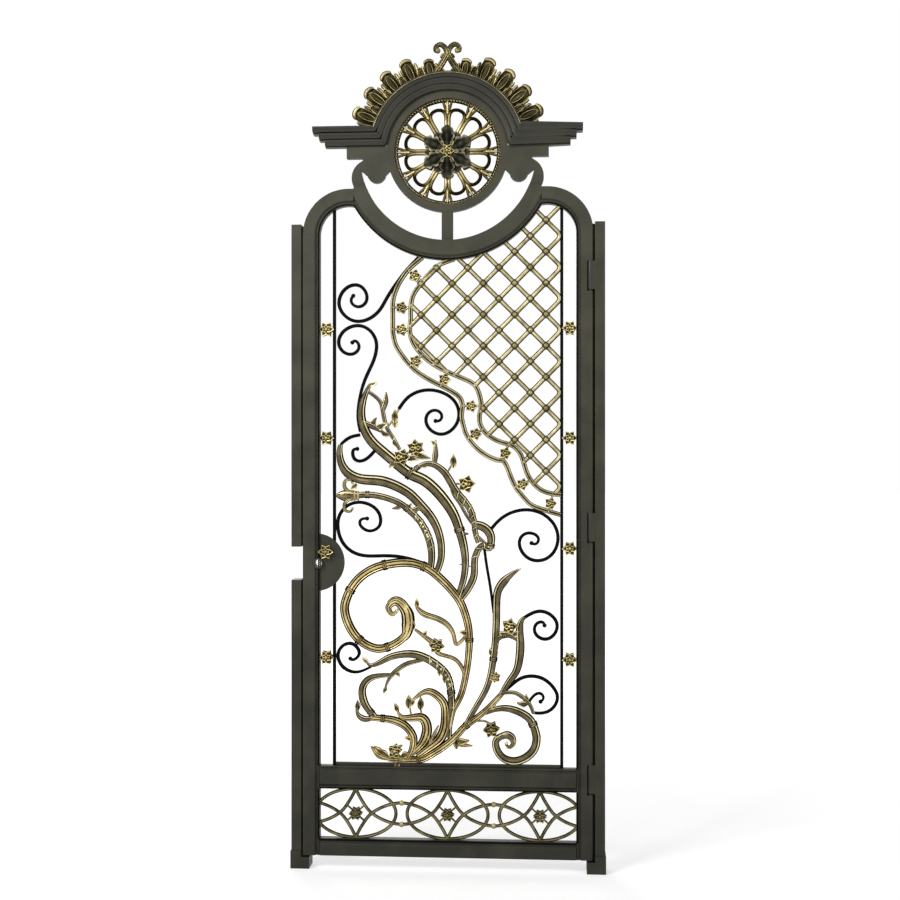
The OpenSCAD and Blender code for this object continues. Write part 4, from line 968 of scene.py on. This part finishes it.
# Crest on the arch
CREST_FIRST = 24
CREST_TURN = 13.5
CREST_LENGTHS = (84 * MM, 84 * MM, 82 * MM, 80 * MM, 56 * MM)
CREST_HALF = 27 * MM
CREST_D = 13 * MM
CREST_SEAT = ARCH_R - 3 * MM
CREST_OUTLINE = (0.8, 0.9, 0.95, 0.95, 0.9, 0.82, 0.6)
CREST_BEAD = (4 * MM, 8 * MM, 4 * MM)
CREST_BEAD_RISE = 5 * MM
# Ribs of a crest leaf as shares of its length and half width, each with widths as shares of the half width
CREST_LOBE = [(0, 0.6), (0.2, 0.8), (0.42, 0.98), (0.6, 1.06), (0.7, 1.0)]
LOBE_WIDTHS = (0.16, 0.26, 0.34, 0.4, 0.26)
CREST_VEIN = [(0.04, 0.36), (0.3, 0.6), (0.56, 0.72), (0.8, 0.68)]
VEIN_WIDTHS = (0.12, 0.16, 0.14)
CREST_ROLL = [(0.82, -0.72), (0.9, -0.46), (0.94, 0), (0.9, 0.46), (0.82, 0.72)]
ROLL_WIDTHS = (0.3, 0.56, 0.66, 0.56, 0.3)


def crest_leaf(shape, angle, length, half):
    """A leaf of the crest: a long loop with a rolled tip on a dark blade, and a curled lobe on each side."""
    root = about_crown(CREST_SEAT, angle)
    out = (root - about_crown(0, 0)).normalized() * length
    across = Vector((-out.z, 0, out.x)).normalized() * half

    def rib(places, side, widths, depth, tone=1.0):
        line = smooth([root + out * a + across * side * b for a, b in places], 4)
        sweep(shape, line, ROD, [w * half for w in widths], [depth], tones=(tone,))

    for face in FACES:
        blade = root + Vector((0, face * MM, 0))
        leaf(shape, blade, angle, 0.92 * length, 0.95 * half, CREST_OUTLINE, face, cup=0.0)
    turns = [math.tau * k / 20 for k in range(20)]
    loop = [root + out * (0.44 + 0.36 * math.cos(t)) + across * 0.38 * math.sin(t) for t in turns]
    sweep(shape, loop, ROD, [0.19 * half], [CREST_D], True)
    for side in (-1, 1):
        rib(CREST_LOBE, side, LOBE_WIDTHS, CREST_D)
        rib(CREST_VEIN, side, VEIN_WIDTHS, 0.9 * CREST_D, 0.5)
    rib(CREST_ROLL, 1, ROLL_WIDTHS, 1.5 * CREST_D)


def crest(name, side, node):
    shape = new_shape()
    for k, length in enumerate(CREST_LENGTHS):
        size = length / CREST_LENGTHS[0]
        angle = CREST_FIRST + k * CREST_TURN
        angle = angle if side > 0 else 180 - angle
        crest_leaf(shape, angle, length, CREST_HALF * (0.4 + 0.6 * size))
        between = angle + side * 0.5 * CREST_TURN
        crest_leaf(shape, between, 0.5 * length, 0.42 * CREST_HALF)
        for turn in range(-4, 5, 2):
            bead(shape, about_crown(CREST_SEAT + CREST_BEAD_RISE, between + turn), CREST_BEAD, 0.6, 6)
    finish_piece(name, shape, LEAF_GILT, [node])


# Half of the top ornament, as places in millimetres beside and above the top of the arch
FINIAL_LINE = [(-48, -4), (-37, 9), (-24, 25), (-11, 45), (-2, 65), (-7, 83), (-22, 95), (-37, 88), (-39, 76),
               (-30, 71)]
FINIAL_WIDTHS = (18, 22, 20, 18, 16, 13, 10)
FINIAL_LEAF = [(-3, 63), (-14, 60), (-23, 53)]
FINIAL_LEAF_WIDTHS = (10, 13, 4)
FINIAL_EYE = (-31, 75)
FINIAL_BULB = (9 * MM, 9 * MM, 9 * MM)


def crest_finials():
    shape = new_shape()
    top = Vector((GATE_X, 0, CROWN_Z + ARCH_R))
    for side in (-1, 1):
        for points, widths in ((FINIAL_LINE, FINIAL_WIDTHS), (FINIAL_LEAF, FINIAL_LEAF_WIDTHS)):
            line = smooth([top + Vector((-side * x, 0, z)) * MM for x, z in points])
            wide = [w * MM for w in widths]
            sweep(shape, line, RIBBED, wide, [0.6 * w + 6 * MM for w in wide], tones=(0.8,))
        eye = top + Vector((-side * FINIAL_EYE[0], 0, FINIAL_EYE[1])) * MM
        bead(shape, eye, FINIAL_BULB, 0.8)
    finish_piece("top_finials", shape, LEAF_GILT, ["crest_finials"])


# Low panel: three ovals crossed by two waves
OVAL_HALF = 130 * MM
OVAL_STEP = 2 * STILE_IN / 2.777
OVAL_W = 11 * MM
OVAL_D = 12 * MM
LOW_MIDDLE = (LOW_PANEL[0] + LOW_PANEL[1]) / 2
LOW_HALF = (LOW_PANEL[1] - LOW_PANEL[0]) / 2
WAVE_HALF = LOW_HALF - 2 * MM
WAVE_DIP = 0.44
WAVE = [(0, 1), (0.06, 0.56), (0.16, 0.05), (0.32, -0.3), (0.5, -WAVE_DIP), (0.68, -0.3), (0.84, 0.05),
        (0.94, 0.56), (1, 1)]
WAVE_END = STILE_IN + 10 * MM
WAVE_KNOT = (9 * MM, 8 * MM, 9 * MM)
CROSS_HALF = 41 * MM
CROSS_TURN = 42
CROSS_W = 6 * MM
CROSS_D = 10 * MM
LOW_ROSETTE_R = 22 * MM


def in_low_panel(across, up):
    """A place in the low panel: ovals along from its middle, and a share of a wave's half height."""
    return Vector((GATE_X + across * OVAL_STEP, 0, LOW_MIDDLE + up * WAVE_HALF))


def low_panel():
    shape = new_shape()
    for s in (-1, 0, 1):
        centre = in_low_panel(s, 0)
        turns = [math.tau * k / 64 for k in range(64)]
        ring = [centre + Vector((OVAL_HALF * math.cos(t), 0, WAVE_HALF * math.sin(t))) for t in turns]
        sweep(shape, ring, ROD, [OVAL_W], [OVAL_D], True)
        for slant in (-CROSS_TURN, CROSS_TURN):
            reach = CROSS_HALF * Vector((math.cos(math.radians(slant)), 0, math.sin(math.radians(slant))))
            sweep(shape, [centre - reach, centre, centre + reach], ROD, [CROSS_W], [CROSS_D])
    for up in (-1, 1):
        for i in (-2, -1, 0, 1):
            knots = [in_low_panel(i + x, up * z) for x, z in WAVE]
            line = [p for p in smooth(knots) if abs(p.x - GATE_X) < WAVE_END]
            sweep(shape, line, ROD, [OVAL_W], [OVAL_D])
        for s in (-0.5, 0.5):
            bead(shape, in_low_panel(s, -up * WAVE_DIP), WAVE_KNOT, 1.1)
    finish_piece("low_panel_bars", shape, DULL_GILT, ["panel_ovals"])
    shape = new_shape()
    for s in (-1, 0, 1):
        rosette(shape, in_low_panel(s, 0), LOW_ROSETTE_R, 6)
    finish_piece("low_panel_flowers", shape, DULL_GILT, ["panel_rosettes"])


# Rope along the panel edges of the frame
ROPE_IN = 3 * MM
ROPE_W = 6 * MM
ROPE_Y = LEAF_FRONT + 3.5 * MM
ROPE_PITCH = 2.4 * MM
ROPE_TURN = math.tau / 8
ROPE_RUN = 40


def resampled(line, pitch):
    """The same line with its points a pitch apart."""
    points = [line[0]]
    for point in line[1:]:
        while (point - points[-1]).length > pitch:
            points.append(points[-1] + (point - points[-1]).normalized() * pitch)
    return points


def half_panel_edge(side, y):
    """The main panel's edge from the crescent's lowest point to the middle rail, on one side."""
    head = SHOULDER_Z + SHOULDER_R - STILE_W + ROPE_IN
    radius = CRESCENT_R - ROPE_IN
    meet = math.degrees(math.asin((CROWN_Z - head) / radius))
    line = arc((0, CROWN_Z), radius, -90, -meet, 40, y)
    line += arc((SHOULDER_X, SHOULDER_Z), SHOULDER_R - STILE_W + ROPE_IN, 90, 0, 16, y)
    line.append(Vector((STILE_IN + ROPE_IN, y, PANEL_FOOT)))
    return [Vector((GATE_X + side * p.x, y, p.z)) for p in line]


def rope(shape, line):
    """A twisted rope along a line, drawn in short runs."""
    points = resampled(line, ROPE_PITCH)
    for start in range(0, len(points) - 1, ROPE_RUN):
        run = points[start : start + ROPE_RUN + 1]
        if len(run) > 1:
            sweep(shape, run, ROPE, [ROPE_W], [ROPE_W], False, ROPE_TURN)


def rope_trim():
    shape = new_shape()
    for face in FACES:
        y = -face * ROPE_Y
        for side in (-1, 1):
            rope(shape, half_panel_edge(side, y))
            x = GATE_X + side * (STILE_IN + ROPE_IN)
            rope(shape, [Vector((x, y, LOW_PANEL[0])), Vector((x, y, LOW_PANEL[1]))])
        for z in (LOW_PANEL[0] - ROPE_IN, LOW_PANEL[1] + ROPE_IN):
            rope(shape, [Vector((GATE_X - STILE_IN, y, z)), Vector((GATE_X + STILE_IN, y, z))])
    finish_piece("panel_rope", shape, BLACK_PAINT)


# Mouldings of the cornice: level over the crown's middle, radius round the arch, set back at the ends, depth
CORNICE_HALF = (cornice_high.x - cornice_low.x) / 2
CORNICE_STEPS = [(28, 203, 39, 52), (49, 222, 20, 62), (70, 241, 0, 74)]
CORNICE_W = 21 * MM
# A thin bright gilt rod along the arch's outer edge on each face: a painted highlight where the light catches
# that edge.
ARCH_HIGHLIGHT_W = 4 * MM
ARCH_HIGHLIGHT_R = ARCH_R - 3 * MM
ARCH_HIGHLIGHT_Y = (CORNICE_STEPS[-1][3] / 2 - 0.5) * MM
ARCH_HIGHLIGHT_ENDS = (18, 162)


def cornice():
    """Three mouldings, each along one wing, over the arch and along the other wing."""
    shape = new_shape()
    for level, radius, set_back, depth in CORNICE_STEPS:
        foot = math.degrees(math.asin(level / radius))
        over = arc((GATE_X, CROWN_Z), radius * MM, 180 - foot, foot, 60)
        end = CORNICE_HALF - set_back * MM
        tips = [Vector((GATE_X + side * end, 0, CROWN_Z + level * MM)) for side in (-1, 1)]
        sweep(shape, [tips[0]] + over + [tips[1]], MOULDING, [CORNICE_W + MM], [depth * MM])
    finish_piece("cornice_mouldings", shape, DARK_PAINT, ["cornice"], 25)
    shape = new_shape()
    # Painted highlight along the arch's outer edge, on each face
    for face in FACES:
        line = arc((GATE_X, CROWN_Z), ARCH_HIGHLIGHT_R, *ARCH_HIGHLIGHT_ENDS, 60, face * ARCH_HIGHLIGHT_Y)
        sweep(shape, line, ROD, [ARCH_HIGHLIGHT_W], [ARCH_HIGHLIGHT_W])
    finish_piece("arch_edge_highlight", shape, LEAF_GILT)


def frame_finish():
    """Paint on the frame, with its edges softened so that they catch the light."""
    black = ("left_bar", "right_bar")
    for name, node in nodes.items():
        if node.hide_render:
            continue
        node.data.materials.clear()
        node.data.materials.append(BLACK_PAINT if name in black else FRAME_PAINT)
        weld = node.modifiers.new("joined_edges", "WELD")
        weld.merge_threshold = 0.01 * MM
        edges = node.modifiers.new("soft_edges", "BEVEL")
        edges.width = 1.2 * MM
        edges.segments = 2
        edges.limit_method = "ANGLE"
        edges.angle_limit = math.radians(35)


for node_name in STEMS:
    stem(node_name)
for node_name in SCROLLS:
    scrolls(node_name)
branch_fleur()
flowers()
lattice()
lattice_border()
border_rosettes()
side_rosettes("left_flowers", -1, "left_rosettes")
side_rosettes("right_flowers", 1, "right_rosettes")
rose_window()
rose_boss()
crest("left_crest_leaves", -1, "left_crest")
crest("right_crest_leaves", 1, "right_crest")
crest_finials()
low_panel()
rope_trim()
cornice()
frame_finish()

# Floor, light and camera
SIGHT_X = GATE_X + 0.008
SIGHT_Z = 1.345
CAMERA_TURN = 4.0
CAMERA_AWAY = 4.6
VIEW_W = 2.884


class Surroundings(Finish):
    """The nodes of the world."""

    def __init__(self, name):
        world = bpy.data.worlds.new(name)
        world.use_nodes = True
        bpy.context.scene.world = world
        self.tree = world.node_tree
        self.shader = self.tree.nodes["Background"]


def seen(finish):
    """One for rays from the camera or off a mirror or glass, and none for rays that carry light."""
    kinds = ("Is Camera Ray", "Is Glossy Ray", "Is Transmission Ray")
    camera_ray, glossy, transmission = (finish.node("ShaderNodeLightPath", {}, {}, kind) for kind in kinds)
    return camera_ray.math("MAXIMUM", camera_ray, glossy.math("MAXIMUM", glossy, transmission))


def floor():
    shape = bmesh.new()
    bmesh.ops.create_grid(shape, x_segments=1, y_segments=1, size=40)
    mesh = bpy.data.meshes.new("floor")
    shape.to_mesh(mesh)
    shape.free()
    finish = Finish("pale_floor", Base_Color=(0.6, 0.6, 0.6, 1.0), Roughness=0.9, Specular_IOR_Level=0.0)
    place = finish.node("ShaderNodeTexCoord", {}, {}, "Object")
    away = finish.node("ShaderNodeVectorMath", {"operation": "LENGTH"}, {0: place}, "Value")
    far = finish.node("ShaderNodeMapRange", {}, {"Value": away, "From Min": 1.0, "From Max": 5.0})
    finish.set(Emission_Color=seen(finish) * (0.5 + 0.35 * far), Emission_Strength=1.0)
    mesh.materials.append(finish.material)
    made = bpy.data.objects.new("floor", mesh)
    bpy.context.scene.collection.objects.link(made)


def white_room():
    room = Surroundings("white_room")
    room.set(Color=(1, 1, 1, 1), Strength=0.45 + 0.55 * seen(room))


def lamp(name, place, aim, size, power):
    light = bpy.data.lights.new(name, "AREA")
    light.size = size
    light.energy = power
    made = bpy.data.objects.new(name, light)
    made.location = place
    made.rotation_euler = (Vector(aim) - Vector(place)).to_track_quat("-Z", "Y").to_euler()
    bpy.context.scene.collection.objects.link(made)


def camera():
    made = bpy.data.objects.new("camera", bpy.data.cameras.new("camera"))
    turn = math.radians(CAMERA_TURN)
    made.location = (SIGHT_X + CAMERA_AWAY * math.sin(turn), -CAMERA_AWAY * math.cos(turn), SIGHT_Z)
    made.rotation_euler = (math.radians(90), 0, turn)
    made.data.sensor_width = 36.0
    made.data.lens = 36.0 * CAMERA_AWAY / VIEW_W
    bpy.context.scene.collection.objects.link(made)
    bpy.context.scene.camera = made


floor()
white_room()
lamp("key_light", (GATE_X - 3.0, -3.8, 4.0), (GATE_X, 0, 1.4), 1.8, 190)
lamp("fill_light", (GATE_X + 3.6, -3.4, 2.2), (GATE_X, 0, 1.2), 2.5, 60)
lamp("back_light", (GATE_X - 1.5, 4.2, 3.4), (GATE_X, 0, 1.4), 2.5, 90)
camera()
bpy.context.scene.view_settings.view_transform = "Standard"
